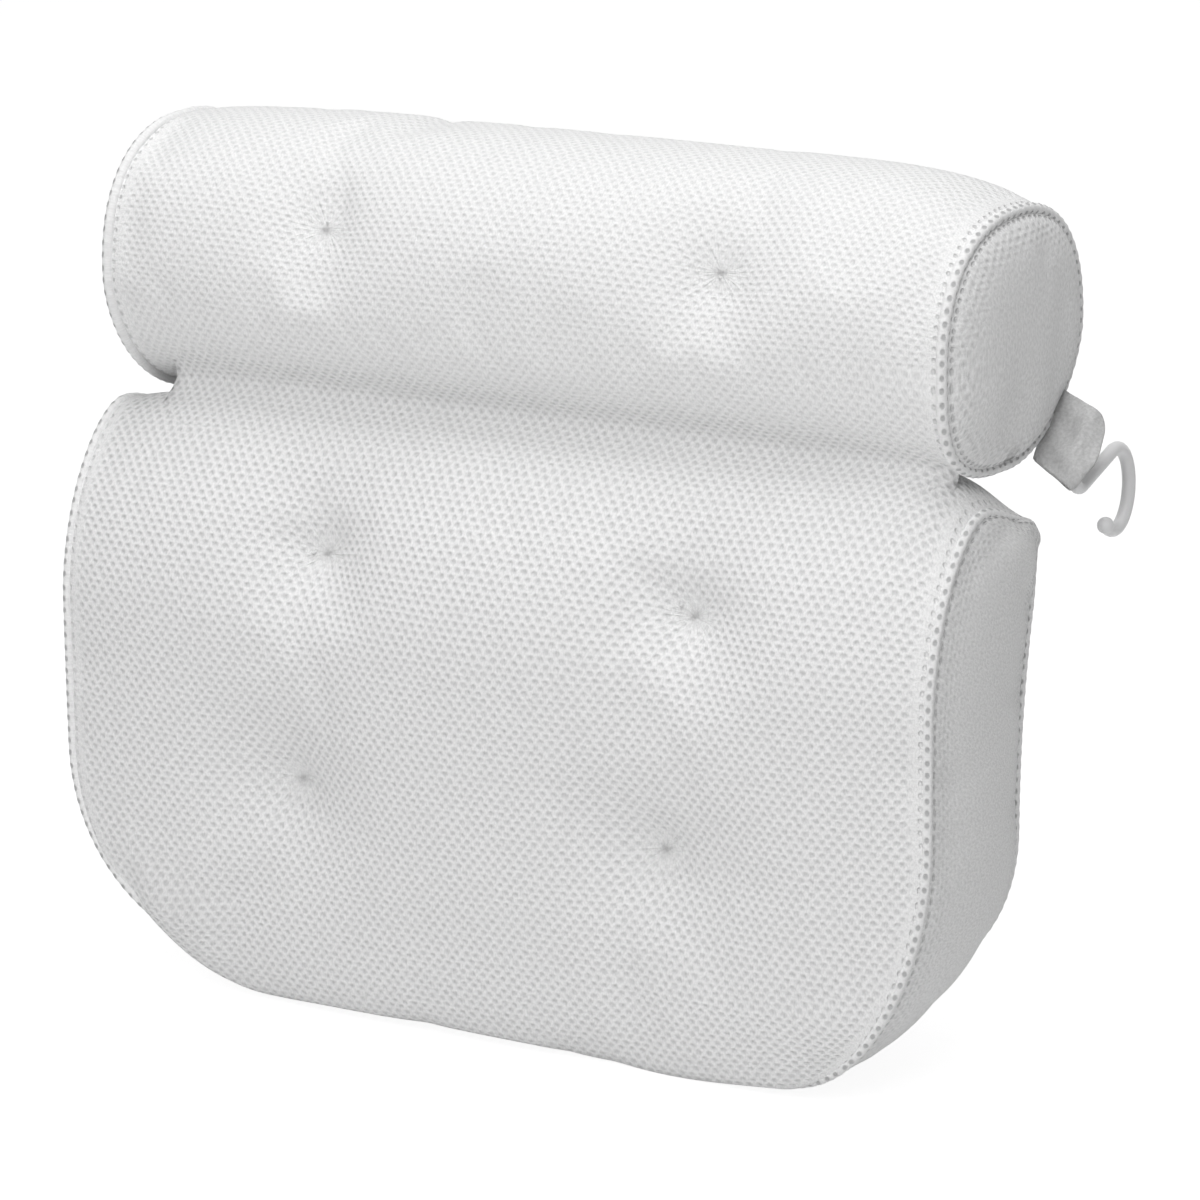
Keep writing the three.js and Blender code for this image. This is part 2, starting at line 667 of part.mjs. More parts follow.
// Roll
{
  const wrap = sheet(rollGrid(seamInset, 0), rollGrid(innerInset, clothThickness));
  const neckBores = rollCups.flatMap((cup) => [cupClothBore(cup.at), cupHeadSeat(cup.at)]);
  piece(rollGroup, "roll_wrap", cut(wrap, [...rollTieBores, ...neckBores]), whiteMesh);

  for (const side of [-1, 1]) {
    const name = side < 0 ? "left" : "right";
    const outside = ringShares.map((share) => endRing(side, share, seamInset, 0));
    const inside = ringShares.map((share) => endRing(side, share, innerInset, clothThickness));
    piece(rollGroup, "roll_end_" + name, skinned([...outside, ...inside.reverse()]), whiteMesh);
    const seam = endTurns.map((turn) => rollSection(side * rollLength / 2, turn, 0));
    piece(rollGroup, "roll_piping_" + name, rod(seam, pipingRadius, beadSides, true), whiteCloth);
  }

  // The filling is closed over the web's slot and reaches to just short of the end cloths
  const rings = rollColumns(fillingDrawIn).map((x) => stations(rollMarks(x, 0), rollSteps)
    .map((turn) => inwards(rollSkin, turn, x, fillingDepth, turnStep)));
  const endRings = (side) => ringShares.slice(0, 2)
    .map((share) => endRing(side, share, fillingDrawIn, fillingDepth));
  const body = skinned([...endRings(-1), ...rings, ...endRings(1).reverse()]);
  const pockets = rollCups.map((cup) => cupFillingPocket(cup.at));
  piece(rollGroup, "roll_filling", cut(body, [...rollTieBores, ...pockets]), whiteFibre);

  rollTieLines.forEach((t) =>
    piece(rollGroup, "roll_tie_" + t.name, tie(t.from, t.to), whiteThread));
  rollCups.forEach((cup) => addCup(rollGroup, "roll_" + cup.name, cup.at));
}

// Web: stands on the pad's top and ends in the slot under the roll
{
  const face = (side) => stations([-webLength / 2, 0, webLength / 2], [7, 7]).map((x) => {
    const y = rollCentreY + side * webThickness / 2;
    const foot = padTopAt(x, y) + fitGap;
    const head = inwards(rollSkin, -quarterTurn, x, fillingDepth, turnStep).z - fitGap;
    return [vec(x, y, foot), vec(x, y, head)];
  });
  piece(pillow, "hinge_web", sheet(face(-1), face(1)), whiteCloth);
}

// Strap: a band sewn into the right end seam and folded round the hook's rod
const seamAt = (degrees) => rollSection(rollLength / 2, radians(degrees), 0);
const strapStart = rollLength / 2 + pipingRadius + fitGap;
const tunnelX = strapStart + strapReach;
const tunnelWay = vec(0, Math.cos(radians(tunnelAngle)), Math.sin(radians(tunnelAngle)));
const tunnelMiddle = vec(tunnelX, strapTunnelY, strapTunnelZ);
{
  const upper = seamAt(strapRootUpperAngle).setX(strapStart);
  const lower = seamAt(strapRootLowerAngle).setX(strapStart);
  const rootMiddle = lower.clone().lerp(upper, 0.5);
  const rootArm = upper.clone().sub(rootMiddle);
  const widths = stations([-1, 1], [4]);
  // The band's section: out along one face, round the rod and back along the other
  const section = (place, radius, rootHalf) => {
    const root = rootMiddle.clone().addScaledVector(rootArm, place);
    const middle = tunnelMiddle.clone().addScaledVector(tunnelWay, place * strapTunnelLength / 2);
    const out = middle.clone().sub(root);
    out.addScaledVector(tunnelWay, -out.dot(tunnelWay)).normalize();
    const across = new THREE.Vector3().crossVectors(tunnelWay, out).normalize();
    const bend = stations([-quarterTurn, quarterTurn], [8]).map((turn) => middle.clone()
      .addScaledVector(out, radius * Math.cos(turn))
      .addScaledVector(across, radius * Math.sin(turn)));
    const end = (side) => root.clone().addScaledVector(across, side * rootHalf).setX(strapStart);
    return [end(-1), ...bend, end(1)];
  };
  const inner = hookRodRadius + fitGap;
  const outerFace = widths.map((w) => section(w, inner + strapThickness, fitGap + strapThickness));
  const innerFace = widths.map((w) => section(w, inner, fitGap));
  piece(rollGroup, "hang_strap", sheet(outerFace, innerFace), whiteMesh);
}

// Hook: a bent rod in one upright plane, its tail in the strap and its open bend behind the roll
{
  const line = [];
  const add = (y, z) => line.push(vec(tunnelX, y, z));
  const exit = tunnelMiddle.clone().addScaledVector(tunnelWay, -strapTunnelLength / 2 - fitGap);
  const tail = exit.clone().addScaledVector(tunnelWay, hookTailLength);
  add(tail.y, tail.z);
  const start = radians(180 + tunnelAngle);
  const turnMiddle = [
    exit.y - hookBendRadius * Math.sin(start), exit.z + hookBendRadius * Math.cos(start),
  ];
  const bendFrom = start - quarterTurn;
  const bendTo = radians(360 + shankAngle) - quarterTurn;
  for (const turn of stations([bendFrom, bendTo], [7]))
    add(turnMiddle[0] + hookBendRadius * Math.cos(turn),
      turnMiddle[1] + hookBendRadius * Math.sin(turn));
  const shank = line[line.length - 1];
  const mouthFrom = Math.PI - Math.atan2(hookMouthHeight * Math.cos(radians(shankAngle)),
    hookMouthDepth * Math.sin(radians(shankAngle)));
  const mouthMiddle = [
    shank.y + hookShankLength * Math.cos(radians(shankAngle))
      - hookMouthDepth * Math.cos(mouthFrom),
    shank.z + hookShankLength * Math.sin(radians(shankAngle))
      - hookMouthHeight * Math.sin(mouthFrom),
  ];
  for (const turn of stations([mouthFrom, radians(hookTipAngle)], [12]))
    add(mouthMiddle[0] + hookMouthDepth * Math.cos(turn),
      mouthMiddle[1] + hookMouthHeight * Math.sin(turn));
  const end = line[line.length - 1];
  const ball = new THREE.SphereGeometry(hookBallRadius, rodSides, rodSides - 2)
    .translate(end.x, end.y, end.z);
  const bent = solid(rod(line, hookRodRadius, rodSides)).add(solid(ball));
  piece(rollGroup, "hang_hook", geometryOf(bent), whitePlastic);
}

// The part's origin is the middle of the pad's flat rear face
pillow.position.z = (padTopFall - rearBottom) / 2;

export default pillow;
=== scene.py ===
import math

import bmesh
import bpy
import numpy as np
from mathutils import Matrix, Vector


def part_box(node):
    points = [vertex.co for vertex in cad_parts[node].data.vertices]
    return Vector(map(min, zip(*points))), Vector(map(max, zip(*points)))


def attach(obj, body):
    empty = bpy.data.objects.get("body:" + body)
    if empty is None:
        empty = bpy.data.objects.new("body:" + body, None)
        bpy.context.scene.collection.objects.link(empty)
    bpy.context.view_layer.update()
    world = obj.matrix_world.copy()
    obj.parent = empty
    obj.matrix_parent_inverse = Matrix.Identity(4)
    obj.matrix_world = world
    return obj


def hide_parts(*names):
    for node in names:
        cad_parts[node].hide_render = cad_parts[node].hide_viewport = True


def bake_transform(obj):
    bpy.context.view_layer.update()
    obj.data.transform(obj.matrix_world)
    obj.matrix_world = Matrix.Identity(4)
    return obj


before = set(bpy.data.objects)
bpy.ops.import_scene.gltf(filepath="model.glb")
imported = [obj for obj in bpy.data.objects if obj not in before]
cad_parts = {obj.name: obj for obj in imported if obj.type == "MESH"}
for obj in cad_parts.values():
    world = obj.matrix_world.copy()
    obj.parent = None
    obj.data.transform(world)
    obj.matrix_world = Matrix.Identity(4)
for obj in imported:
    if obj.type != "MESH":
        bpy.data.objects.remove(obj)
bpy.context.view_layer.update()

bl_info = {
    "name": "Bath pillow",
    "version": (1, 0, 0),
    "blender": (4, 5, 0),
    "location": "View3D > Sidebar > Pillow",
    "description": "Dresses the bath pillow in spacer mesh, seams, cups, strap and hook",
    "category": "Object",
}

DEG = math.pi / 180

# Seams of the pad, from the frame: the bead's own radius is taken off its box
BEAD = 0.0023
front_low, front_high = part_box("pad_front_piping")
back_low, back_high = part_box("pad_back_piping")
PAD_HALF = front_high.x - BEAD
PAD_BOTTOM = front_low.z + BEAD
PAD_DEPTH = -(front_low.y + BEAD)
REAR_TOP_SPREAD = 0.003
REAR_TOP_HALF = back_high.x - BEAD + REAR_TOP_SPREAD
REAR_FLARE = 0.0090
STRIP_FULL = 0.05  # the side strip swells fully where it is this wide
REAR_HALF = REAR_TOP_HALF - REAR_FLARE
REAR_BOTTOM = back_low.z + BEAD
REAR_TOP = back_high.z - BEAD

# The pad's outline and its profile from the bottom seam up the front and over the top
PAD_CORNERS = ((0.083, 0.080), (0.062, 0.093))  # left and right: how wide and how tall
PAD_LEFT_BULGE = 0.0042
PAD_RIGHT_DIP = 0.0045  # the right lower corner hangs lower, from this far across and up
PAD_DIP_ACROSS = 0.13
PAD_DIP_RUN = 0.09
PAD_TOP_CORNER = 0.010
REAR_CORNER = (0.047, 0.060)
SHOULDER_RISES = (0.0006, 0.0090)  # left and right, beside the pad's top
SHOULDER_DROPS = (0.0020, 0.0040)  # left and right, at its side seams
SHOULDER_START = 0.060  # along the cloth before the pad's crest
SHOULDER_END = 0.030  # along the cloth before the rear seam
TOP_FALL = 0.017
FOLD_DEPTH = 0.040
FOLD_HEIGHT = 0.072
FOLD_BENDS = (0.55, 0.45)  # handles of the curve over the fold, in shares of its height and depth
TOP_BENDS = (0.7, 0.2, 0.73)  # handles of the slope from the crest to the rear seam
PAD_TOP = REAR_TOP + TOP_FALL
CROWN_POWER = 3

# The front cloth hangs over its bottom seam: how far past it, how far the seam lies behind it,
# from how high up, and how fast that fades round the left and the right corner
HANG_DROP = 0.0153
HANG_BACK = 0.008
HANG_REACH = 0.030
HANG_FADES = (1.5, 3.5)
HANG_RIGHT_LESS = (0.55, 0.065, 0.150)  # the share lost at the right, from where to where
HANG_PEAK = 27 / 4  # brings the most of share * (1 - share) ** 2 to one

# Tufts: where the ties draw the cloth in, across and along the cloth's run
TUFT_REACH = 0.0195
TUFT_BROAD = 0.044
TUFT_BROAD_SHARE = 0.38
TUFT_HALF = 0.078
TUFT_MIDDLE_HEIGHT = 0.0172
TUFT_HEIGHT_HALF = 0.044
TUFT_SLANT = 0.117  # the upper ties lie further to the right than the lower ones
TUFT_TILT = 0.025  # and the right ones lower than the left ones
ROLL_TUFT_HALF = 0.083
ROLL_TIE_LEAN = 153 * DEG
ROLL_TIE_TWIST = 3 * DEG

# Roll, from its right seam
roll_low, roll_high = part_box("roll_piping_right")
ROLL_HALF = (roll_low.x + roll_high.x) / 2
ROLL_DEPTH = (roll_high.y - roll_low.y) / 2 - BEAD
ROLL_HEIGHT = (roll_high.z - roll_low.z) / 2 - BEAD
ROLL_Y = (roll_high.y + roll_low.y) / 2
ROLL_Z = (roll_high.z + roll_low.z) / 2
ROLL_FULLNESS = 0.86
ROLL_PRESS = 0.005  # how far the underside is pressed up by the pad
ROLL_CREST_POWERS = (5.5, 8.0)  # left and right
ROLL_REAR_CROWN = 0.002
ROLL_RIGHT_EASE = 0.2  # the share of that press which the right end is spared
ROLL_LEFT_RISE = 0.0055
ROLL_LEFT_WHOLE = 0.25  # the share of that rise which the end's middle height takes
ROLL_TOES = (-0.25, 0.22)  # left and right: fuller or slacker low at the front of an end
ROLL_HEEL = 0.3  # slacker low at the rear of both ends

# The cloth simulation that settles the covers, and how far it may move the cloth
SETTLE_PRESSURE = 3.0
SETTLE_CAP = 0.0018
SETTLE_FRAMES = 20
SETTLE_GROWTH = -0.015
SETTLE_STIFFNESS = 12.0
SETTLE_BENDING = 1.2
PAD_HOLD = (0.030, 0.010)  # before the crease strip: where the hold on the cloth starts and is full
ROLL_HOLD_FRONT = (0.6, 0.2)  # the same on the roll, in radians of its turn
ROLL_HOLD_REAR = (0.9, 1.3)

# Steps of the cloth's starting grids; each is subdivided once after its simulation
CLOTH_STEP = 0.0046
SEWN = 1e-5  # points of two panels closer than this are one
STRIP_STEPS = 16
CAP_STEPS = 18


def length_property(name, description, default):
    return bpy.props.FloatProperty(name=name, description=description, default=default,
                                   unit="LENGTH")


def colour_property(name, description, default):
    return bpy.props.FloatVectorProperty(name=name, description=description, default=default,
                                         subtype="COLOR", size=3)


class PillowSizes(bpy.types.PropertyGroup):
    """Sizes of the stuffing and seams that change how full the pillow looks."""

    pad_crown: length_property(
        "Pad crown", "How far the pad's front swells between its seams", 0.0150)
    gusset_crown: length_property("Side crown", "How far the pad's side strip swells", 0.0050)
    pad_tuft: length_property("Pad tuft depth", "How far a tie draws in the pad's front", 0.0185)
    roll_tuft: length_property("Roll tuft depth", "How far a tie draws in the roll", 0.0120)
    roll_top_crown: length_property(
        "Roll top crown", "How far the roll's top swells at its middle", 0.0118)
    roll_front_crown: length_property(
        "Roll front crown", "How far the roll's front swells at its middle", 0.0080)
    cap_crown: length_property("End crown", "How far the roll's ends bulge", 0.0080)
    hole_across: length_property(
        "Hole pitch across", "Distance between two holes of the mesh in a row", 0.0042)
    hole_along: length_property("Hole pitch along", "Distance between two rows of holes", 0.00245)
    hole_radius: length_property("Hole radius", "Radius of a hole of the mesh", 0.00140)
    stitch_pitch: length_property(
        "Stitch pitch", "Distance between two holes along a bound seam", 0.0046)


class PillowColours(bpy.types.PropertyGroup):
    """Colours of the cloth, seams and hardware."""

    cloth: colour_property("Cloth", "White of the spacer mesh", (0.895, 0.895, 0.895))
    # The hole tone is painted shade: the shaded inside of the open mesh seen through its holes.
    hole: colour_property("Hole", "Tone seen in the holes of the mesh", (0.73, 0.732, 0.734))
    # The stitch-hole tone is painted shade: the dark inside of the holes along the seams.
    stitch: colour_property(
        "Stitch hole", "Tone seen in the holes along the seams", (0.42, 0.423, 0.426))
    # The strap's knit is as white as the mesh; this darker grey is painted shade, as the strap lies
    # in shade under the roll's end.
    strap: colour_property("Strap", "White knit of the hook's strap", (0.54, 0.54, 0.54))
    # The hook's plastic is white; this grey is partly its own tone and partly painted shade beside
    # the roll's end.
    plastic: colour_property("Hook", "White plastic of the hook", (0.76, 0.76, 0.765))
    thread: colour_property("Thread", "White sewing thread", (0.82, 0.82, 0.82))


def sizes():
    return bpy.context.scene.pillow_sizes


def colours():
    return bpy.context.scene.pillow_colours


# Forms that the panels are made from

def smoothstep(value, low, high):
    share = np.clip((value - low) / (high - low), 0, 1)
    return share * share * (3 - 2 * share)


def fullness(share):
    return 1 - np.minimum(1, np.abs(share)) ** CROWN_POWER


def runs_along(points, axis=0):
    """How far along its line each point lies; a grid's lines follow the given axis."""
    steps = np.linalg.norm(np.diff(points, axis=axis), axis=-1)
    return np.insert(np.cumsum(steps, axis=axis), 0, 0, axis=axis)


def drawn_in(distance, depth):
    """How far a tie draws the cloth in: a deep middle in a broad shallow dish."""
    sharp = (1 + (distance / TUFT_REACH) ** 2) ** -1.5
    broad = (1 + (distance / TUFT_BROAD) ** 2) ** -1.5
    return depth * (sharp * (1 - TUFT_BROAD_SHARE) + broad * TUFT_BROAD_SHARE)


def bezier(points, count):
    """Points of a cubic curve, the first left out."""
    t = np.linspace(0, 1, count + 1)[1:, None]
    a, b, c, d = (np.array(p) for p in points)
    return a * (1 - t) ** 3 + 3 * b * t * (1 - t) ** 2 + 3 * c * t * t * (1 - t) + d * t ** 3


def unit(vectors):
    return vectors / np.maximum(np.linalg.norm(vectors, axis=-1, keepdims=True), 1e-12)


class Profile:
    """The pad's line in depth and height, measured along the cloth from the bottom seam."""

    def __init__(self):
        crest = PAD_DEPTH - FOLD_DEPTH
        bend = (-PAD_DEPTH, PAD_TOP - FOLD_HEIGHT)
        top = (-crest, PAD_TOP)
        fold = bezier([bend, (-PAD_DEPTH, PAD_TOP - FOLD_HEIGHT * FOLD_BENDS[0]),
                       (-crest - FOLD_DEPTH * FOLD_BENDS[1], PAD_TOP), top], 200)
        slope = bezier([top, (-crest * TOP_BENDS[0], PAD_TOP),
                        (-crest * TOP_BENDS[1], PAD_TOP - TOP_FALL * TOP_BENDS[2]),
                        (0, REAR_TOP)], 200)
        self.points = np.vstack([(-PAD_DEPTH, PAD_BOTTOM), bend, fold, slope])
        self.runs = runs_along(self.points)
        self.length = self.runs[-1]
        self.crest = 1 + len(fold)
        self.top_run = self.runs[self.crest]

    def at(self, run):
        return np.stack([np.interp(run, self.runs, self.points[:, k]) for k in (0, 1)], -1)

    def ahead(self, run):
        step = self.length / 400
        after, before = np.minimum(run + step, self.length), np.maximum(run - step, 0)
        return unit(self.at(after) - self.at(before))

    def run_at_height(self, z):
        """The run at which the profile's front reaches a height."""
        rising = slice(0, self.crest + 1)
        return float(np.interp(z, self.points[rising, 1], self.runs[rising]))

    def run_at_depth(self, y):
        """The run at which the profile's top reaches a depth."""
        return float(np.interp(y, self.points[self.crest:, 0], self.runs[self.crest:]))


PROFILE = Profile()


def pad_half(run):
    taper = smoothstep(run, PROFILE.top_run, PROFILE.length)
    return PAD_HALF - taper * (PAD_HALF - REAR_TOP_HALF)


TUFT_RUNS = [PROFILE.run_at_height(TUFT_MIDDLE_HEIGHT + row * TUFT_HEIGHT_HALF) for row in (-1, 1)]
TUFT_MIDDLE_RUN = (TUFT_RUNS[0] + TUFT_RUNS[1]) / 2
TUFT_RUN_HALF = (TUFT_RUNS[1] - TUFT_RUNS[0]) / 2


def tuft_place(side, row):
    """Where a tie of the pad holds the cloth, across and along it; the rows lean a little."""
    across = side * TUFT_HALF + row * TUFT_SLANT * TUFT_RUN_HALF
    return across, TUFT_MIDDLE_RUN + row * TUFT_RUN_HALF - across * TUFT_TILT


PAD_TUFTS = [tuft_place(side, row) for side in (-1, 1) for row in (-1, 1)]


def corner_size(x):
    """How wide and how tall the lower corner on a point's side is."""
    left, right = PAD_CORNERS
    return np.where(x < 0, left[0], right[0]), np.where(x < 0, left[1], right[1])


def corner_shares(x, run):
    """How far a point lies into its lower corner, towards the side and towards the bottom."""
    wide, tall = corner_size(x)
    return (np.clip((np.abs(x) - (PAD_HALF - wide)) / wide, 0, 1),
            np.clip((tall - run) / tall, 0, 1))


def hang(x, run):
    """How the front cloth is moved where it rolls over its bottom seam."""
    (wide, tall), (a, b) = corner_size(x), corner_shares(x, run)
    square = np.maximum(a * a + b * b, 1e-9)
    away = np.maximum(0, 1 - np.sqrt(square)) * (wide * a * a + tall * b * b) / square
    share = np.clip(away / HANG_REACH, 0, 1)
    low = (b * b / square) ** np.where(x < 0, *HANG_FADES)
    less, start, end = HANG_RIGHT_LESS
    low = low * (1 - less * smoothstep(x, start, end))
    out = HANG_DROP * HANG_PEAK * share * (1 - share) ** 2 * low / np.sqrt(square)
    return np.stack([np.sign(x) * a * out, HANG_BACK * (1 - share) ** 3 * low, -b * out], -1)


def shoulder(x, run):
    """How the cloth rises beside the pad's top before it drops to the side seams."""
    side = np.minimum(1, np.abs(x) / PAD_HALF)
    along = smoothstep(run, PROFILE.top_run - SHOULDER_START, PROFILE.top_run)
    rise = np.where(x < 0, *SHOULDER_RISES) * 2 * side ** 4 * (1 - side ** 12)
    rise = rise - np.where(x < 0, *SHOULDER_DROPS) * side ** 8
    return rise * along * (1 - smoothstep(run, PROFILE.length - SHOULDER_END, PROFILE.length))


def hang_run(x, run):
    """The same run with the cloth's true length where it hangs, for the mesh's holes."""
    fine = np.linspace(0, HANG_REACH, 61)
    line = hang(0 * fine, fine) + np.stack([0 * fine, 0 * fine, fine], -1)
    lengths = runs_along(line)
    a, b = corner_shares(x, run)
    low = b * b / np.maximum(a * a + b * b, 1e-9)
    true = np.interp(run, fine, HANG_REACH + lengths - lengths[-1])
    return np.where(run < HANG_REACH, run + (true - run) * low, run)


def pad_front(x, run):
    """A point of the pad's front cloth, swollen between its seams and drawn in at the ties."""
    place = PROFILE.at(run)
    ahead = PROFILE.ahead(run)
    middle = PROFILE.length / 2
    swell = sizes().pad_crown * fullness(x / pad_half(run)) * fullness((run - middle) / middle)
    for across, along in PAD_TUFTS:
        swell = swell - drawn_in(np.hypot(x - across, run - along), sizes().pad_tuft)
    dip = (PAD_RIGHT_DIP * smoothstep(x, 0.0, PAD_DIP_ACROSS)
           * np.clip(1 - run / PAD_DIP_RUN, 0, 1) ** 2)
    place = place + np.stack([0 * x, shoulder(x, run) - dip], -1)
    bulge = (PAD_LEFT_BULGE * np.clip(-x / PAD_HALF, 0, 1) ** 4
             * np.sqrt(np.sin(math.pi * np.clip(run / PROFILE.length, 0, 1))))
    return hang(x, run) + np.stack([x - bulge, place[..., 0] - ahead[..., 1] * swell,
                                    place[..., 1] + ahead[..., 0] * swell], -1)


def corner_fit(a, b):
    """Moves a point of a square corner into a round one, in shares towards the corner."""
    return a * np.sqrt(1 - b * b / 2), b * np.sqrt(1 - a * a / 2)


def roll_section(x, turn):
    """The roll's outline at a turn from its rear over its top, swollen towards its middle."""
    swell = fullness(x / ROLL_HALF)
    flat = 1 - np.minimum(1, np.abs(x / ROLL_HALF)) ** np.where(x < 0, *ROLL_CREST_POWERS)
    ends = (x / ROLL_HALF) ** 4
    c, s = np.cos(turn), np.sin(turn)
    depth = ROLL_DEPTH + swell * np.where(c < 0, sizes().roll_front_crown, ROLL_REAR_CROWN)
    press = np.where(x < 0, swell, 1 - ROLL_RIGHT_EASE * ends)
    height = ROLL_HEIGHT + np.where(s > 0, flat * sizes().roll_top_crown, press * -ROLL_PRESS)
    power = ROLL_FULLNESS + ROLL_HEEL * ends * ((c > 0) & (s < 0))
    power = power - np.where(x < 0, *ROLL_TOES) * ends * ((c < 0) & (s < 0))
    y = ROLL_Y + depth * np.sign(c) * np.abs(c) ** power
    z = ROLL_Z + height * np.sign(s) * np.abs(s) ** power
    lift = ROLL_LEFT_WHOLE + (1 - ROLL_LEFT_WHOLE) * s
    z = z + ROLL_LEFT_RISE * np.clip(-x / ROLL_HALF, 0, 1) ** 6 * lift
    return np.stack([x + 0 * turn, y, z], -1)


def tie_turn(x):
    return ROLL_TIE_LEAN + ROLL_TIE_TWIST * x / ROLL_TUFT_HALF


def roll_skin(x, turn):
    point = roll_section(x, turn)
    axis = np.stack([point[..., 0], np.full(point.shape[:-1], ROLL_Y),
                     np.full(point.shape[:-1], ROLL_Z)], -1)
    inwards = unit(axis - point)
    for side in (-1, 1):
        across = side * ROLL_TUFT_HALF
        seat = roll_section(np.array(across), np.array(tie_turn(across)))
        away = np.linalg.norm(point - seat, axis=-1)
        point = point + inwards * drawn_in(away, sizes().roll_tuft)[..., None]
    return point


# Meshes from blocks of grid points

class Cover:
    """A closed cover sewn from grids; each grid keeps its own cloth and seam coordinates."""

    def __init__(self):
        self.points, self.cloth, self.seam, self.hold = [], [], [], []
        self.faces, self.kinds = [], []
        self.count = 0

    def panel(self, points, cloth, seam, hold, kind, flip=False):
        rows, columns = points.shape[:2]
        index = self.count + np.arange(rows * columns).reshape(rows, columns)
        quads = np.stack([index[:-1, :-1], index[:-1, 1:], index[1:, 1:], index[1:, :-1]], -1)
        quads = quads.reshape(-1, 4)
        if flip:
            quads = quads[:, ::-1]
        self.faces.append(quads)
        self.kinds.append(np.full(len(quads), kind))
        self.count += rows * columns
        for store, value in ((self.points, points), (self.cloth, cloth), (self.seam, seam)):
            store.append(value.reshape(rows * columns, -1))
        self.hold.append(np.broadcast_to(hold, (rows, columns)).reshape(-1))

    def build(self, name, *materials):
        faces = np.vstack(self.faces)
        mesh = bpy.data.meshes.new(name)
        mesh.from_pydata(np.vstack(self.points).tolist(), [], faces.tolist())
        corners = faces.reshape(-1)
        for title, values in (("cloth", self.cloth), ("seam", self.seam)):
            layer = mesh.uv_layers.new(name=title)
            layer.data.foreach_set("uv", np.vstack(values)[corners].astype(np.float32).ravel())
        mesh.polygons.foreach_set("material_index", np.concatenate(self.kinds).astype(np.int32))
        for title in materials:
            mesh.materials.append(material(title))
        obj = bpy.data.objects.new(name, mesh)
        bpy.context.collection.objects.link(obj)
        held = obj.vertex_groups.new(name="hold")
        for k, weight in enumerate(np.concatenate(self.hold)):
            if weight > 0:
                held.add([k], float(weight), "REPLACE")
        sew(mesh)
        return obj


def rim_loop(grid):
    """A grid's rim, once round and closed."""
    sides = (grid[0, :-1], grid[:-1, -1], grid[-1, :0:-1], grid[:0:-1, 0], grid[:1, 0])
    return np.concatenate(sides)


def thin_cover(name, kind, faces, cloth, seam):
    """A thin closed sheet from its two faces and the band round their rims."""
    cover = Cover()
    for k, grid in enumerate(faces):
        cover.panel(grid, cloth, seam, 0, 0, flip=k == 1)
    band = np.stack([rim_loop(grid) for grid in faces])
    cover.panel(band, np.stack([rim_loop(cloth)] * 2), np.stack([rim_loop(seam)] * 2), 0, 0)
    return cover.build(name, kind)


def seat(obj, slot, body, *nodes):
    """Gives a piece its slot, the CAD nodes it stands for and the body it rides on."""
    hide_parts(*nodes)
    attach(obj, body)


def sew(mesh):
    """Merges the points that two panels share and turns every face outwards."""
    form = bmesh.new()
    form.from_mesh(mesh)
    bmesh.ops.remove_doubles(form, verts=form.verts, dist=SEWN)
    bmesh.ops.recalc_face_normals(form, faces=form.faces)
    form.to_mesh(mesh)
    form.free()
    mesh.shade_smooth()


def alone(obj):
    """Selects one object and makes it the active one."""
    bpy.ops.object.select_all(action="DESELECT")
    obj.select_set(True)
    bpy.context.view_layer.objects.active = obj
    return obj


def finish_modifiers(obj):
    alone(obj)
    for modifier in list(obj.modifiers):
        bpy.ops.object.modifier_apply(modifier=modifier.name)


def subdivide(obj):
    modifier = obj.modifiers.new("Round", "SUBSURF")
    modifier.levels = modifier.render_levels = 1
    modifier.uv_smooth = "NONE"
    finish_modifiers(obj)
    obj.data.shade_smooth()


def coordinates(mesh):
    values = np.empty(len(mesh.vertices) * 3, np.float32)
    mesh.vertices.foreach_get("co", values)
    return values.reshape(-1, 3).astype(float)


def held_share(obj):
    """How firmly each point is held, from the group that the simulation pins."""
    group = obj.vertex_groups["hold"].index
    held = np.zeros(len(obj.data.vertices))
    for k, point in enumerate(obj.data.vertices):
        for entry in point.groups:
            if entry.group == group:
                held[k] = entry.weight
    return held


def settle(obj):
    """Blows the cover up a little between its seams and ties, and caps how far it moves."""
    before = coordinates(obj.data)
    loose = 1 - held_share(obj)[:, None]
    modifier = obj.modifiers.new("Cloth", "CLOTH")
    cloth = modifier.settings
    cloth.quality = 6
    cloth.mass = 0.25
    cloth.tension_stiffness = cloth.compression_stiffness = SETTLE_STIFFNESS
    cloth.shear_stiffness = SETTLE_STIFFNESS
    cloth.bending_stiffness = SETTLE_BENDING
    cloth.use_pressure = True
    cloth.uniform_pressure_force = SETTLE_PRESSURE
    cloth.effector_weights.gravity = 0
    cloth.vertex_group_mass = "hold"
    cloth.shrink_min = SETTLE_GROWTH
    modifier.collision_settings.use_self_collision = False
    modifier.point_cache.frame_start = 1
    modifier.point_cache.frame_end = SETTLE_FRAMES
    for number in range(1, SETTLE_FRAMES + 1):
        bpy.context.scene.frame_set(number)
    finish_modifiers(obj)
    bpy.context.scene.frame_set(1)
    move = coordinates(obj.data) - before
    far = np.linalg.norm(move, axis=1, keepdims=True)
    move *= SETTLE_CAP / np.hypot(far, SETTLE_CAP) * loose
    obj.data.vertices.foreach_set("co", (before + move).astype(np.float32).ravel())
    obj.data.update()


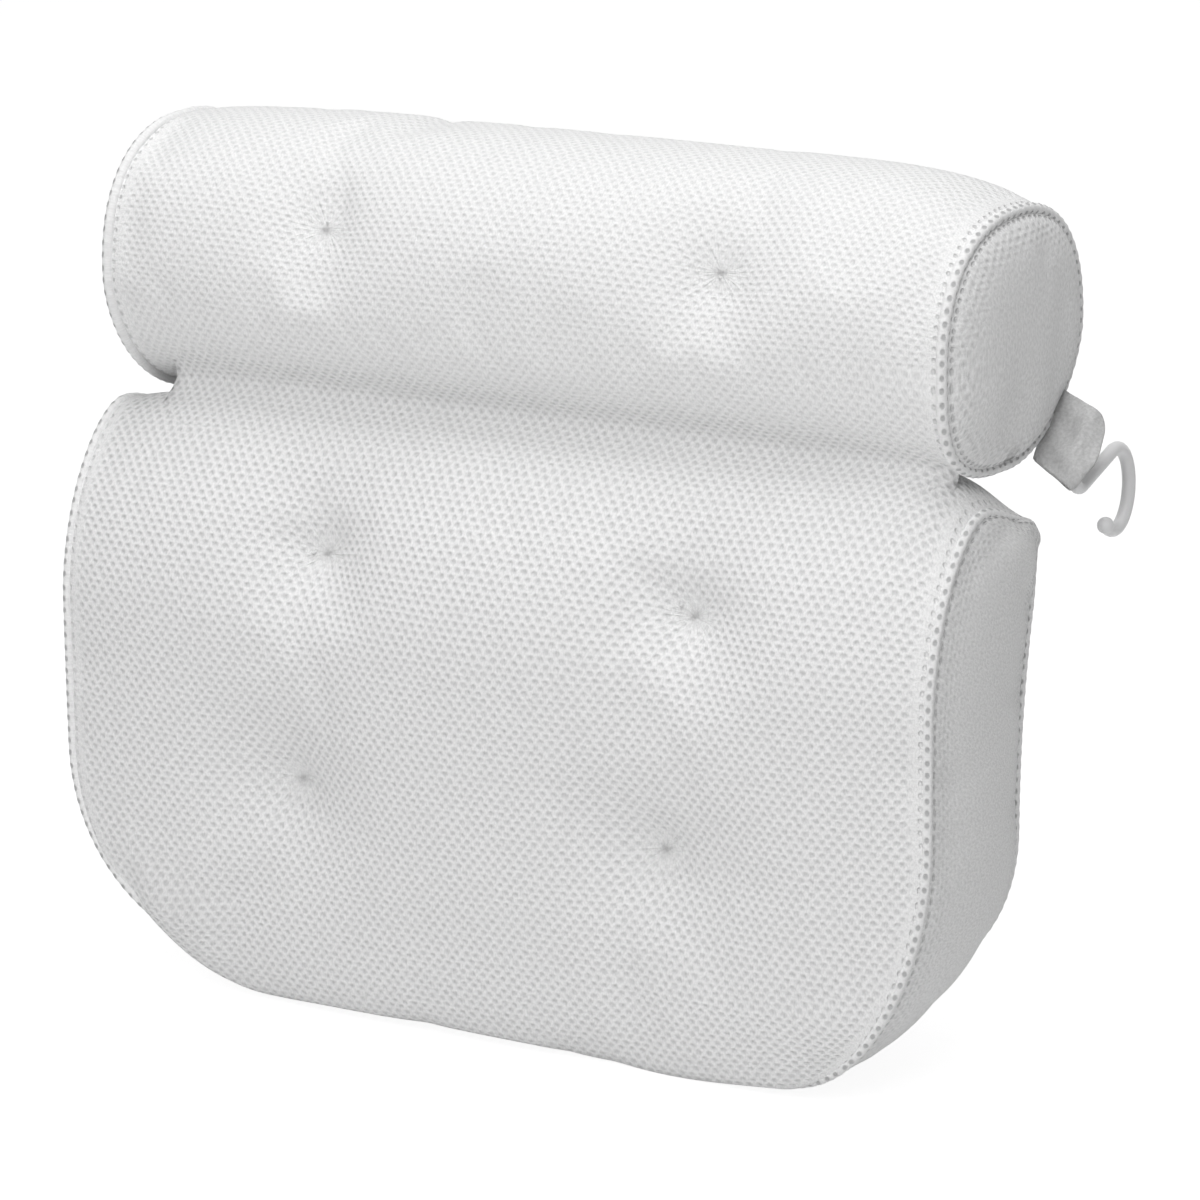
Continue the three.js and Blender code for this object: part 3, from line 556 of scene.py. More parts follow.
def tube(name, path, first, second, radius, kind, sides=10, closed=False, wave=0.0, pitch=1.0,
         taper=0.0):
    """A bead along a path; first and second are the directions of its section at each point."""
    if closed:
        path, first, second = (np.vstack([v, v[:1]]) for v in (path, first, second))
    run = runs_along(path)
    turns = np.linspace(-math.pi, math.pi, sides + 1)
    size = radius * (1 + wave * np.cos(2 * math.pi * run / pitch))
    if taper:
        thin = smoothstep(np.minimum(run, run[-1] - run), 0, taper)
        size = size * (TAPER_END + (1 - TAPER_END) * thin)
    c, s = np.cos(turns)[None, :, None], np.sin(turns)[None, :, None]
    points = path[:, None] + size[:, None, None] * (c * first[:, None] + s * second[:, None])
    place = np.stack(np.broadcast_arrays(run[:, None], (turns * radius)[None, :]), -1)
    cover = Cover()
    cover.panel(points, place, place, 0, 0)
    obj = cover.build(name, kind)
    if not closed:
        close_ends(obj)
    return obj


def close_ends(obj):
    """Fills the two open ends of a tube."""
    form = bmesh.new()
    form.from_mesh(obj.data)
    edges = [edge for edge in form.edges if edge.is_boundary]
    bmesh.ops.holes_fill(form, edges=edges, sides=0)
    bmesh.ops.recalc_face_normals(form, faces=form.faces)
    form.to_mesh(obj.data)
    form.free()
    obj.data.shade_smooth()


def resample(path, step, *others):
    """Points at even steps along a path, and what goes with them."""
    lengths = np.linalg.norm(np.diff(path, axis=0), axis=1)
    keep = np.concatenate([[True], lengths > 1e-7])
    path, others = path[keep], [o[keep] for o in others]
    run = runs_along(path)
    places = np.linspace(0, run[-1], max(2, round(run[-1] / step) + 1))
    return [np.stack([np.interp(places, run, v[:, k]) for k in range(3)], -1)
            for v in (path, *others)]


# Materials

class Recipe:
    """Adds nodes to a material or world and hands back their sockets."""

    def __init__(self, owner):
        owner.use_nodes = True
        self.owner = owner
        self.tree = owner.node_tree
        self.shader = self.tree.nodes.get("Principled BSDF")

    def put(self, socket, value):
        if isinstance(value, bpy.types.NodeSocket):
            self.tree.links.new(value, socket)
        else:
            socket.default_value = value

    def node(self, kind, *inputs, **settings):
        """A node with its settings made and its first sockets filled."""
        made = self.tree.nodes.new("ShaderNode" + kind)
        for key, value in settings.items():
            setattr(made, key, value)
        for socket, value in zip(made.inputs, inputs):
            self.put(socket, value)
        return made

    def set(self, **values):
        """Sets the shader's own sockets; an underscore stands for a space."""
        for key, value in values.items():
            self.put(self.shader.inputs[key.replace("_", " ")], value)

    def maths(self, operation, *values):
        """Works along the values from the first, two at a time."""
        made = self.node("Math", *values[:2], operation=operation).outputs[0]
        for value in values[2:]:
            made = self.node("Math", made, value, operation=operation).outputs[0]
        return made

    def times(self, *values):
        return self.maths("MULTIPLY", *values)

    def plus(self, *values):
        return self.maths("ADD", *values)

    def minus(self, *values):
        return self.maths("SUBTRACT", *values)

    def distance(self, x, y):
        return self.maths("SQRT", self.plus(self.times(x, x), self.times(y, y)))

    def between(self, value, low, high, to_low=0.0, to_high=1.0):
        made = self.node("MapRange", value, low, high, to_low, to_high,
                         interpolation_type="SMOOTHSTEP")
        return made.outputs[0]

    def vector(self, x, y):
        return self.node("CombineXYZ", x, y).outputs[0]

    def split(self, socket):
        return tuple(self.node("SeparateXYZ", socket).outputs)

    def uv(self, name):
        return self.split(self.node("UVMap", uv_map=name).outputs[0])[:2]

    def place(self):
        return self.node("TexCoord").outputs["Object"]

    def noise(self, vector, scale, detail=2.0, roughness=0.5):
        made = self.node("TexNoise", vector)
        for key, value in (("Scale", scale), ("Detail", detail), ("Roughness", roughness)):
            made.inputs[key].default_value = value
        return made

    def chance(self, cell):
        """Random numbers for a cell, as a value and a colour."""
        return self.node("TexWhiteNoise", cell, noise_dimensions="3D").outputs

    def mix(self, factor, first, second, way="MIX"):
        made = self.node("Mix", factor, data_type="RGBA", blend_type=way)
        self.put(made.inputs[6], first)
        self.put(made.inputs[7], second)
        return made.outputs[2]

    def tinted(self, shade, tone):
        """A colour times a tone of grey."""
        grey = self.node("CombineColor", tone, tone, tone)
        return self.mix(1.0, shade, grey.outputs[0], "MULTIPLY")

    def bump(self, height, strength=1.0, distance=0.001):
        made = self.node("Bump")
        for key, value in (("Strength", strength), ("Distance", distance), ("Height", height)):
            self.put(made.inputs[key], value)
        return made.outputs[0]

    def cloth(self, shade, tone, height):
        """Finishes the material as dull cloth in a shade times a tone, with relief."""
        self.set(Base_Color=self.tinted(shade, tone), Normal=self.bump(height), Roughness=0.85,
                 Sheen_Weight=0.15, Specular_IOR_Level=0.2)

    def seen(self):
        """1 for what is seen by the camera, in a gloss or through a cup, and 0 for light."""
        rays = self.node("LightPath").outputs
        return self.maths("MAXIMUM", rays["Is Camera Ray"], rays["Is Glossy Ray"],
                          rays["Is Transmission Ray"])


def full(colour):
    return (*colour, 1.0)


HOLE_DRIFT = (70.0, 0.0010, 0.0007)  # rows wander by: scale of the drift, across and along
HOLE_LOOSE = 0.07  # how far a hole strays in its cell
HOLE_SIZES = (0.92, 0.16)  # smallest size and the spread above it, in shares of the radius
HOLE_OVAL = 1.25
HOLE_EDGE = (1.25, 0.1)  # a hole's soft edge, in shares of its size
STITCH_STRAY = 0.22  # how far a hole of a seam strays along it, in shares of the pitch
STITCH_EDGE = (1.1, 0.35)


def honeycomb(recipe, u, v):
    """The mesh's staggered oval holes: 1 in a hole and 0 on the cloth."""
    s = sizes()
    scale, drift_across, drift_along = HOLE_DRIFT
    drift = recipe.noise(recipe.vector(u, v), scale)
    sideways, endways, _ = recipe.split(drift.outputs["Color"])
    u = recipe.plus(u, recipe.times(recipe.minus(sideways, 0.5), drift_across))
    v = recipe.plus(v, recipe.times(recipe.minus(endways, 0.5), drift_along))
    across = recipe.maths("DIVIDE", u, s.hole_across)
    along = recipe.maths("DIVIDE", v, s.hole_along)
    row = recipe.maths("FLOOR", along)
    odd = recipe.maths("MODULO", recipe.maths("ABSOLUTE", row), 2.0)
    across = recipe.plus(across, recipe.times(odd, 0.5))
    cell = recipe.vector(recipe.maths("FLOOR", across), row)
    lots = recipe.split(recipe.chance(cell)["Color"])

    def offset(place, lot, pitch):
        middle = recipe.minus(recipe.maths("FRACT", place), 0.5)
        stray = recipe.times(recipe.minus(lot, 0.5), HOLE_LOOSE)
        return recipe.times(recipe.plus(middle, stray), pitch)

    away = recipe.distance(offset(across, lots[0], s.hole_across),
                           offset(along, lots[1], s.hole_along * HOLE_OVAL))
    least, spread = (share * s.hole_radius for share in HOLE_SIZES)
    size = recipe.plus(recipe.times(lots[2], spread), least)
    return recipe.between(recipe.maths("DIVIDE", away, size), *HOLE_EDGE)


def threads(recipe, u, v, across, along, detail=2.0):
    """Fine stretched threads: a noise drawn out along one way."""
    place = recipe.vector(recipe.times(u, across), recipe.times(v, along))
    return recipe.noise(place, 1.0, detail, 0.6).outputs[0]


def stitch_row(recipe, along, away, offset, length, width, phase=0.0):
    """A row of holes beside a seam, at an offset from it."""
    pitch = sizes().stitch_pitch
    place = recipe.plus(recipe.maths("DIVIDE", along, pitch), phase)
    cell = recipe.vector(recipe.maths("FLOOR", place), offset * 1000)
    jitter = recipe.times(recipe.minus(recipe.chance(cell)[0], 0.5), STITCH_STRAY)
    x = recipe.plus(recipe.minus(recipe.maths("FRACT", place), 0.5), jitter)
    x = recipe.maths("DIVIDE", recipe.times(x, pitch), length)
    y = recipe.maths("DIVIDE", recipe.minus(away, offset), width)
    return recipe.between(recipe.distance(x, y), *STITCH_EDGE)


def tuft_polar(recipe, u, v, kind):
    """Distance from the nearest tuft and the direction to it, from the cloth's own coordinates."""
    if kind == "pad":
        lean = recipe.times(recipe.minus(v, TUFT_MIDDLE_RUN), TUFT_SLANT)
        tilt = recipe.times(u, TUFT_TILT)
        x = recipe.minus(recipe.maths("ABSOLUTE", recipe.minus(u, lean)), TUFT_HALF)
        y = recipe.maths("ABSOLUTE", recipe.plus(recipe.minus(v, TUFT_MIDDLE_RUN), tilt))
        y = recipe.minus(y, TUFT_RUN_HALF)
    else:
        x = recipe.minus(recipe.maths("ABSOLUTE", u), ROLL_TUFT_HALF)
        y = recipe.minus(v, roll_tie_run())
    return recipe.distance(x, y), recipe.maths("ARCTAN2", y, x)


def spacer_mesh(recipe, kind):
    """White spacer mesh with open holes, drawn smooth beside its seams and creased at the tufts."""
    c = colours()
    u, v = recipe.uv("cloth")
    along, away = recipe.uv("seam")
    depth, beside = {"pad": (1.0, 0.12), "roll": (0.7, 0.35)}[kind]
    clear = recipe.between(away, 0.0045, 0.0085)
    tuft, bearing = tuft_polar(recipe, u, v, kind)
    closed = recipe.times(recipe.between(tuft, 0.011, 0.002), 0.75)
    hole = recipe.times(honeycomb(recipe, u, v), depth, clear, recipe.minus(1.0, closed))
    fine = threads(recipe, u, v, 1500.0, 900.0)
    drawn = threads(recipe, along, away, 1500.0, 160.0)
    drawn_mask = recipe.minus(1.0, clear)
    rays = recipe.vector(recipe.times(bearing, 5.5), recipe.times(tuft, 55.0))
    creases = recipe.times(recipe.noise(rays, 1.6).outputs[0],
                           recipe.between(tuft, 0.026, 0.006))
    row = stitch_row(recipe, along, away, 0.0030, 0.0012, 0.0009)
    # Painted shade: the holes and the row of holes beside the seam are darkened to the shade seen
    # inside them.
    shade = recipe.mix(hole, full(c.cloth), full(c.hole))
    shade = recipe.mix(recipe.times(row, beside), shade, full(c.stitch))
    streak = recipe.between(drawn, 0.3, 0.7, 0.94, 1.02)
    tone = recipe.times(recipe.between(fine, 0.3, 0.7, 0.90, 1.07),
                        recipe.plus(recipe.times(streak, drawn_mask), clear))
    height = recipe.plus(recipe.times(hole, -0.55), recipe.times(fine, 0.30),
                         recipe.times(drawn, drawn_mask, 0.25), recipe.times(row, -0.5),
                         recipe.times(creases, 0.8))
    recipe.cloth(shade, tone, height)


def drawn_mesh(recipe):
    """The same mesh pulled tight over a side: its holes closed to fine threads off the seam."""
    c = colours()
    u, v = recipe.uv("cloth")
    along, away = recipe.uv("seam")
    fine = threads(recipe, u, v, 950.0, 620.0, 3.0)
    drawn = threads(recipe, along, away, 900.0, 90.0)
    mask = recipe.between(away, 0.014, 0.003)
    hole = recipe.times(honeycomb(recipe, u, v), recipe.between(away, 0.004, 0.007),
                        recipe.between(away, 0.020, 0.007, 0.06, 0.6))
    streak = recipe.between(drawn, 0.35, 0.7, 0.93, 1.04)
    tone = recipe.times(recipe.between(fine, 0.3, 0.7, 0.86, 1.06),
                        recipe.plus(recipe.times(streak, mask), recipe.minus(1.0, mask)))
    row = stitch_row(recipe, along, away, 0.0032, 0.0017, 0.0008)
    # Painted shade: the holes and the seam's row of holes are darkened to the shade seen inside
    # them.
    shade = recipe.mix(hole, full(c.cloth), full(c.hole))
    shade = recipe.mix(recipe.times(row, 0.45), shade, full(c.stitch))
    height = recipe.plus(recipe.times(fine, 0.35), recipe.times(drawn, mask, 0.3),
                         recipe.times(hole, -0.45), recipe.times(row, -0.5))
    recipe.cloth(shade, tone, height)


def strap_knit(recipe):
    """The strap's close knit, a little greyer than the mesh and softly rumpled."""
    u, v = recipe.uv("cloth")
    fine = threads(recipe, u, v, 900.0, 700.0, 3.0)
    rumple = threads(recipe, u, v, 150.0, 210.0)
    tone = recipe.times(recipe.between(fine, 0.3, 0.7, 0.86, 1.07),
                        recipe.between(rumple, 0.3, 0.7, 0.93, 1.04))
    height = recipe.plus(recipe.times(fine, 0.15), recipe.times(rumple, 1.2))
    recipe.cloth(full(colours().strap), tone, height)


def bound_seam(recipe):
    """The bead: mesh folded over the seam, with a row of open holes along its crest."""
    c = colours()
    along, around = recipe.uv("cloth")
    holes = recipe.maths("MAXIMUM",
                         stitch_row(recipe, along, around, -0.0003, 0.0014, 0.0011, 0.5),
                         stitch_row(recipe, along, around, 0.0030, 0.0012, 0.0008))
    drawn = threads(recipe, along, around, 1300.0, 260.0)
    # Painted shade: the bead's holes are darkened to the shade seen inside them.
    shade = recipe.mix(recipe.times(holes, 0.8), full(c.cloth), full(c.stitch))
    height = recipe.plus(recipe.times(holes, -0.5), recipe.times(drawn, 0.3))
    recipe.cloth(shade, recipe.between(drawn, 0.3, 0.7, 0.92, 1.02), height)


def sewing_thread(recipe):
    """Twisted white thread."""
    twist = recipe.node("TexWave", recipe.place(), bands_direction="DIAGONAL")
    twist.inputs["Scale"].default_value = 900.0
    strand = twist.outputs["Fac"]
    c = colours()
    recipe.set(Base_Color=recipe.mix(recipe.times(strand, 0.25), full(c.thread), full(c.hole)),
               Normal=recipe.bump(strand, 0.5, 0.0003), Roughness=0.7, Sheen_Weight=0.2)


def clear_rubber(recipe):
    """Clear soft plastic of the suction cups, faintly clouded."""
    cloud = recipe.noise(recipe.place(), 60.0, 3.0).outputs[0]
    recipe.set(Base_Color=recipe.mix(cloud, (0.86, 0.89, 0.91, 1), (0.95, 0.97, 0.98, 1)),
               Roughness=recipe.between(cloud, 0.3, 0.7, 0.12, 0.24),
               Transmission_Weight=0.85, IOR=1.45, Normal=recipe.bump(cloud, 0.08))


def hook_plastic(recipe):
    """Moulded white plastic with a soft gloss."""
    flow = recipe.noise(recipe.place(), 220.0, 3.0).outputs[0]
    c = colours()
    # The plastic's grey is partly its own tone and partly painted shade; the flow marks are random
    # tone.
    recipe.set(Base_Color=recipe.mix(recipe.times(flow, 0.12), full(c.plastic), full(c.hole)),
               Roughness=recipe.between(flow, 0.3, 0.7, 0.28, 0.40),
               Normal=recipe.bump(flow, 0.05, 0.0005), Specular_IOR_Level=0.5)


MAKERS = {
    "pad_mesh": lambda recipe: spacer_mesh(recipe, "pad"),
    "roll_mesh": lambda recipe: spacer_mesh(recipe, "roll"),
    "side_mesh": drawn_mesh,
    "bead_mesh": bound_seam,
    "strap_mesh": strap_knit,
    "thread": sewing_thread,
    "cup": clear_rubber,
    "hook": hook_plastic,
}
MATERIALS = {}


def material(name):
    """One of the object's materials, made when it is first asked for."""
    if name not in MATERIALS:
        recipe = Recipe(bpy.data.materials.new(name))
        MAKERS[name](recipe)
        MATERIALS[name] = recipe.owner
    return MATERIALS[name]


# Pad

def pad_grid():
    """The pad front's grid in its flat rectangle, fitted to the round lower corners."""
    columns = round(2 * PAD_HALF / CLOTH_STEP / 2) * 2
    rows = round(PROFILE.length / CLOTH_STEP)
    x = np.linspace(-PAD_HALF, PAD_HALF, columns + 1)[None, :].repeat(rows + 1, 0)
    run = np.linspace(0, PROFILE.length, rows + 1)[:, None].repeat(columns + 1, 1)
    return x, run, *corner_shares(x, run)


def top_corner_fit(x, run):
    """The same for the small upper corners: shares to the side and the top, and which points."""
    c = np.clip((np.abs(x) - (PAD_HALF - PAD_TOP_CORNER)) / PAD_TOP_CORNER, 0, 1)
    d = np.clip((run - (PROFILE.length - PAD_TOP_CORNER)) / PAD_TOP_CORNER, 0, 1)
    return *corner_fit(c, d), (c > 0) & (d > 0)


def front_places(x, run, a, b):
    """Where the grid lies on the cloth, and how far that is from the seam."""
    u, v = corner_fit(a, b)
    wide, tall = corner_size(x)
    inner = PAD_HALF - wide
    out, up, topmost = top_corner_fit(x, run)
    cornered = (a > 0) & (b > 0)
    across = np.where(a > 0, inner + wide * u, np.abs(x))
    across = np.where(topmost, PAD_HALF - PAD_TOP_CORNER * (1 - out), across)
    run = np.where(b > 0, tall * (1 - v), run)
    run = np.where(topmost, PROFILE.length - PAD_TOP_CORNER * (1 - up), run)
    across = across * pad_half(run) / PAD_HALF
    half = pad_half(run)
    mean = (wide + tall) / 2
    away = np.minimum(np.minimum(half - across, run), PROFILE.length - run)
    away = np.where(cornered, mean * (1 - np.hypot(u, v)), away)
    away = np.where(topmost, PAD_TOP_CORNER * (1 - np.hypot(out, up)), away)
    side = inner + mean * math.pi / 2 + run - tall
    nearest_side = half - across < np.minimum(run, PROFILE.length - run)
    along = np.where(cornered, inner + mean * np.arctan2(u, v),
                     np.where(nearest_side, side, across))
    seam = np.stack([np.sign(x) * along, np.maximum(away, 0)], -1)
    return np.sign(x) * across, run, seam


def rear_places(x, run, a, b):
    """The rear panel's points that answer the front's grid."""
    u, v = corner_fit(a, b)
    wide, tall = corner_size(x)
    rear_wide, rear_tall = REAR_CORNER
    inner, rear_inner = PAD_HALF - wide, REAR_HALF - rear_wide
    share = np.clip((run - tall) / (PROFILE.length - tall), 0, 1)
    cornered = np.where(a > 0, rear_inner + rear_wide * u, np.abs(x) * rear_inner / inner)
    straight = np.abs(x) * (REAR_HALF + REAR_FLARE * share) / PAD_HALF
    across = np.sign(x) * (cornered * (1 - share) + straight * share)
    low = REAR_BOTTOM + rear_tall
    z = np.where(b > 0, REAR_BOTTOM + rear_tall * (1 - v), low * (1 - share) + REAR_TOP * share)
    out, up, topmost = top_corner_fit(x, run)
    high = PAD_TOP_CORNER * (REAR_TOP - low) / (PROFILE.length - tall)
    edge = REAR_HALF + REAR_FLARE - PAD_TOP_CORNER * (1 - out)
    across = np.where(topmost, np.sign(x) * edge, across)
    z = np.where(topmost, REAR_TOP - high * (1 - up), z)
    return np.stack([across, 0 * across, z], -1)


def rim_path(values):
    """The grid's rim from the left end of its top, down, along the bottom and up the right side."""
    return np.concatenate([values[::-1, 0], values[0, 1:], values[1:, -1]])


def pad_points():
    x, run, a, b = pad_grid()
    across, along_run, seam = front_places(x, run, a, b)
    front = pad_front(across, along_run)
    rear = rear_places(x, run, a, b)
    u, v = corner_fit(a, b)
    outward = np.stack([np.sign(x) * u, 0 * u, -v], -1)
    cloth = np.stack([across, hang_run(across, along_run)], -1)
    return front, rear, outward, cloth, seam


def pad_seams():
    """The front and rear seams as paths, with which way is outwards along them."""
    front, rear, outward, _, _ = pad_points()
    return rim_path(front), rim_path(rear), rim_path(outward)


def strip_points(front, rear, outward):
    share = np.linspace(0, 1, STRIP_STEPS + 1)[None, :, None]
    wide = np.linalg.norm(rear - front, axis=-1)[:, None, None]
    swell = sizes().gusset_crown * 4 * share * (1 - share) * smoothstep(wide, 0, STRIP_FULL)
    return front[:, None] * (1 - share) + rear[:, None] * share + outward[:, None] * swell


def make_pad_cover():
    front, rear, outward, cloth, seam = pad_points()
    path_front, path_rear, path_out = rim_path(front), rim_path(rear), rim_path(outward)
    cover = Cover()
    hold = (seam[..., 1] < 1e-6).astype(float)
    for across, along in PAD_TUFTS:
        near = np.hypot(cloth[..., 0] - across, cloth[..., 1] - along)
        hold = np.maximum(hold, (near < CLOTH_STEP).astype(float))
    crest = PROFILE.top_run - CREASE_BACK
    hold = np.maximum(hold, smoothstep(cloth[..., 1], *(crest - back for back in PAD_HOLD)))
    cover.panel(front, cloth, seam, hold, 0)
    strip = strip_points(path_front, path_rear, path_out)
    wide = np.linalg.norm(path_rear - path_front, axis=1)
    share = np.linspace(0, 1, STRIP_STEPS + 1)[None, :]
    across = share * wide[:, None]
    along = np.broadcast_to(runs_along(path_front)[:, None], across.shape)
    away = np.minimum(across, wide[:, None] - across)
    strip_hold = np.broadcast_to(((share == 0) | (share == 1)).astype(float), across.shape)
    cover.panel(strip, np.stack([along, across], -1), np.stack([along, away], -1), strip_hold, 1)
    cover.panel(rear, rear[..., [0, 2]], seam, 1.0, 0, flip=True)
    pad = cover.build("pad_cover", "pad_mesh", "side_mesh")
    settle(pad)
    subdivide(pad)
    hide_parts("pad_front_panel", "pad_filling", "pad_gusset", "pad_back_panel")
    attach(pad, "pad")


def seam_frames(path, outward):
    """The directions of a bead's section: away from the cloth's face, and outwards."""
    ahead = unit(np.gradient(path, axis=0))
    outward = unit(outward - (outward * ahead).sum(-1, keepdims=True) * ahead)
    return unit(np.cross(outward, ahead)), outward


def leaned(first, second, angle):
    """The two directions of a bead's section, turned together."""
    return (first * math.cos(angle) + second * math.sin(angle),
            second * math.cos(angle) - first * math.sin(angle))


BEAD_WAVE = 0.06  # the yarn swells between two stitches by this share
TAPER_END = 0.15  # how thick an open bead is at its ends
PAD_BEAD_LEAN = 30 * DEG
PAD_BEAD_SHARE = 0.75
PAD_BEAD_INSET = 0.0006
PAD_BEAD_TAPER = 0.030


def make_pad_beads():
    front, rear, outward = pad_seams()
    for name, path, node in (("pad_front_bead", front, "pad_front_piping"),
                             ("pad_rear_bead", rear, "pad_back_piping")):
        path, out = resample(path, sizes().stitch_pitch / 4, outward)
        face, out = seam_frames(path, out)
        bead = tube(name, path - out * PAD_BEAD_INSET, *leaned(face, out, PAD_BEAD_LEAN),
                    BEAD * PAD_BEAD_SHARE, "bead_mesh", wave=BEAD_WAVE,
                    pitch=sizes().stitch_pitch, taper=PAD_BEAD_TAPER)
        seat(bead, "piping", "pad", node)


# Roll

def cap_square():
    """A square grid pressed into a disc, as places across and up in shares of the radius."""
    steps = np.linspace(-1, 1, CAP_STEPS + 1)
    return corner_fit(*np.meshgrid(steps, steps))


def ring_turns():
    """Turns round the roll that meet the end caps' points, from its underside right round."""
    steps = np.linspace(-1, 1, CAP_STEPS + 1)[:-1]
    quarter = np.arcsin(steps / math.sqrt(2))
    turns = np.concatenate([quarter + k * math.pi / 2 for k in range(-1, 4)])
    turns = turns[turns > -math.pi / 2 - 1e-9]
    ring = turns[:4 * CAP_STEPS]
    return np.append(ring, ring[0] + 2 * math.pi)


def girth(turns):
    """Cloth length round the roll's middle, from its underside up its rear and over its top."""
    fine = np.linspace(turns[0], turns[-1], 1441)
    ring = roll_section(np.zeros_like(fine), fine)
    return np.interp(turns, fine, runs_along(ring))


def roll_tie_run():
    """How far along that girth the ties of the roll hold the cloth."""
    turns = np.array([-math.pi / 2, ROLL_TIE_LEAN, 3 * math.pi / 2])
    return float(girth(turns)[1])


def make_roll_cover():
    turns = ring_turns()
    columns = round(2 * ROLL_HALF / CLOTH_STEP / 2) * 2
    x, turn = np.meshgrid(np.linspace(-ROLL_HALF, ROLL_HALF, columns + 1), turns)
    skin = roll_skin(x, turn)
    run = np.broadcast_to(girth(turns)[:, None], x.shape)
    away = ROLL_HALF - np.abs(x)
    hold = (away < 1e-6) | (np.abs(turn - turns[0]) < 1e-6) | (np.abs(turn - turns[-1]) < 1e-6)
    hold = hold.astype(float)
    hold = np.maximum(hold, smoothstep(turn, *(CREASE_TURN - back for back in ROLL_HOLD_FRONT)))
    hold = np.maximum(hold, smoothstep(-turn, *ROLL_HOLD_REAR))
    for side in (-1, 1):
        across = side * ROLL_TUFT_HALF
        for lean in (tie_turn(across), tie_turn(across) - math.pi):
            near = np.hypot(x - across, (turn - lean) * ROLL_DEPTH)
            hold = np.maximum(hold, (near < CLOTH_STEP).astype(float))
    cover = Cover()
    cover.panel(skin, np.stack([x, run], -1), np.stack([run, away], -1), hold, 0)
    u, v = cap_square()
    share, angle = np.hypot(u, v), np.arctan2(v, u)
    for side in (-1, 1):
        edge = roll_section(np.full(angle.shape, side * ROLL_HALF), angle)
        lift = ROLL_LEFT_WHOLE * ROLL_LEFT_RISE * (side < 0)
        axis = np.array([side * ROLL_HALF, ROLL_Y, ROLL_Z + lift])
        points = axis + (edge - axis) * share[..., None]
        points[..., 0] += side * sizes().cap_crown * (1 - share ** 5)
        around = np.interp(np.mod(angle + math.pi / 2, 2 * math.pi) - math.pi / 2, turns,
                           girth(turns))
        seam = np.stack([around, (1 - share) * ROLL_DEPTH], -1)
        flat = np.stack([u * ROLL_DEPTH, v * ROLL_HEIGHT], -1)
        cover.panel(points, flat, seam, (share > 1 - 1e-6).astype(float), 1, flip=side < 0)
    roll = cover.build("roll_cover", "roll_mesh", "side_mesh")
    settle(roll)
    subdivide(roll)
    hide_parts("roll_wrap", "roll_filling", "roll_end_left", "roll_end_right")
    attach(roll, "roll")


ROLL_BEAD_LEAN = 40 * DEG
ROLL_BEAD_SHARE = 0.92


def make_roll_beads():
    for side, name in ((-1, "left"), (1, "right")):
        turns = np.linspace(-math.pi / 2, 3 * math.pi / 2, 241)[:-1]
        path = roll_section(np.full(turns.shape, side * ROLL_HALF), turns)
        axis = np.array([side * ROLL_HALF, ROLL_Y, ROLL_Z])
        out = unit(path - axis)
        sideways = np.broadcast_to(np.array([side, 0.0, 0.0]), out.shape)
        bead = tube("roll_bead_" + name, path, *leaned(out, sideways, ROLL_BEAD_LEAN),
                    BEAD * ROLL_BEAD_SHARE, "bead_mesh", closed=True, wave=BEAD_WAVE,
                    pitch=sizes().stitch_pitch)
        seat(bead, "piping", "roll", "roll_piping_" + name)


# The crease strip: it starts this far along the cloth before the pad's crest, ends at this turn
# of the roll and laps onto both
CREASE_BACK = 0.012
CREASE_TURN = 222 * DEG
CREASE_LAP = 0.008
CREASE_LEFT, CREASE_RIGHT = -0.158, 0.172
CREASE_END = 0.014
CREASE_THICK = 0.0012
CREASE_TAPER = 0.003
CREASE_REACH = 0.7  # how far the valley follows pad and roll, as a share of its width
CREASE_RIGHT_BACK = 0.003
CREASE_LIFTS = (-0.0003, 0.0007, 0.0009)  # at the laps' edges, more within, less at both ends
CREASE_HAIR = 0.00005
CREASE_SEAM = 0.05  # the mesh here is drawn as it is this far from a seam
CREASE_COLUMNS = np.linspace(CREASE_LEFT, CREASE_RIGHT, 90)
LAP_COUNT = 7
VALLEY_COUNT = 22


def lap(surface, start, end):
    """Points on a surface between two places, with the ways along it and outwards at each."""
    place, x = np.meshgrid(np.linspace(start, end, LAP_COUNT), CREASE_COLUMNS)
    step = (end - start) / LAP_COUNT
    on = surface(x, place + step) - surface(x, place - step)
    across = surface(x + 0.001, place) - surface(x - 0.001, place)
    return surface(x, place), unit(on), unit(np.cross(across, on))


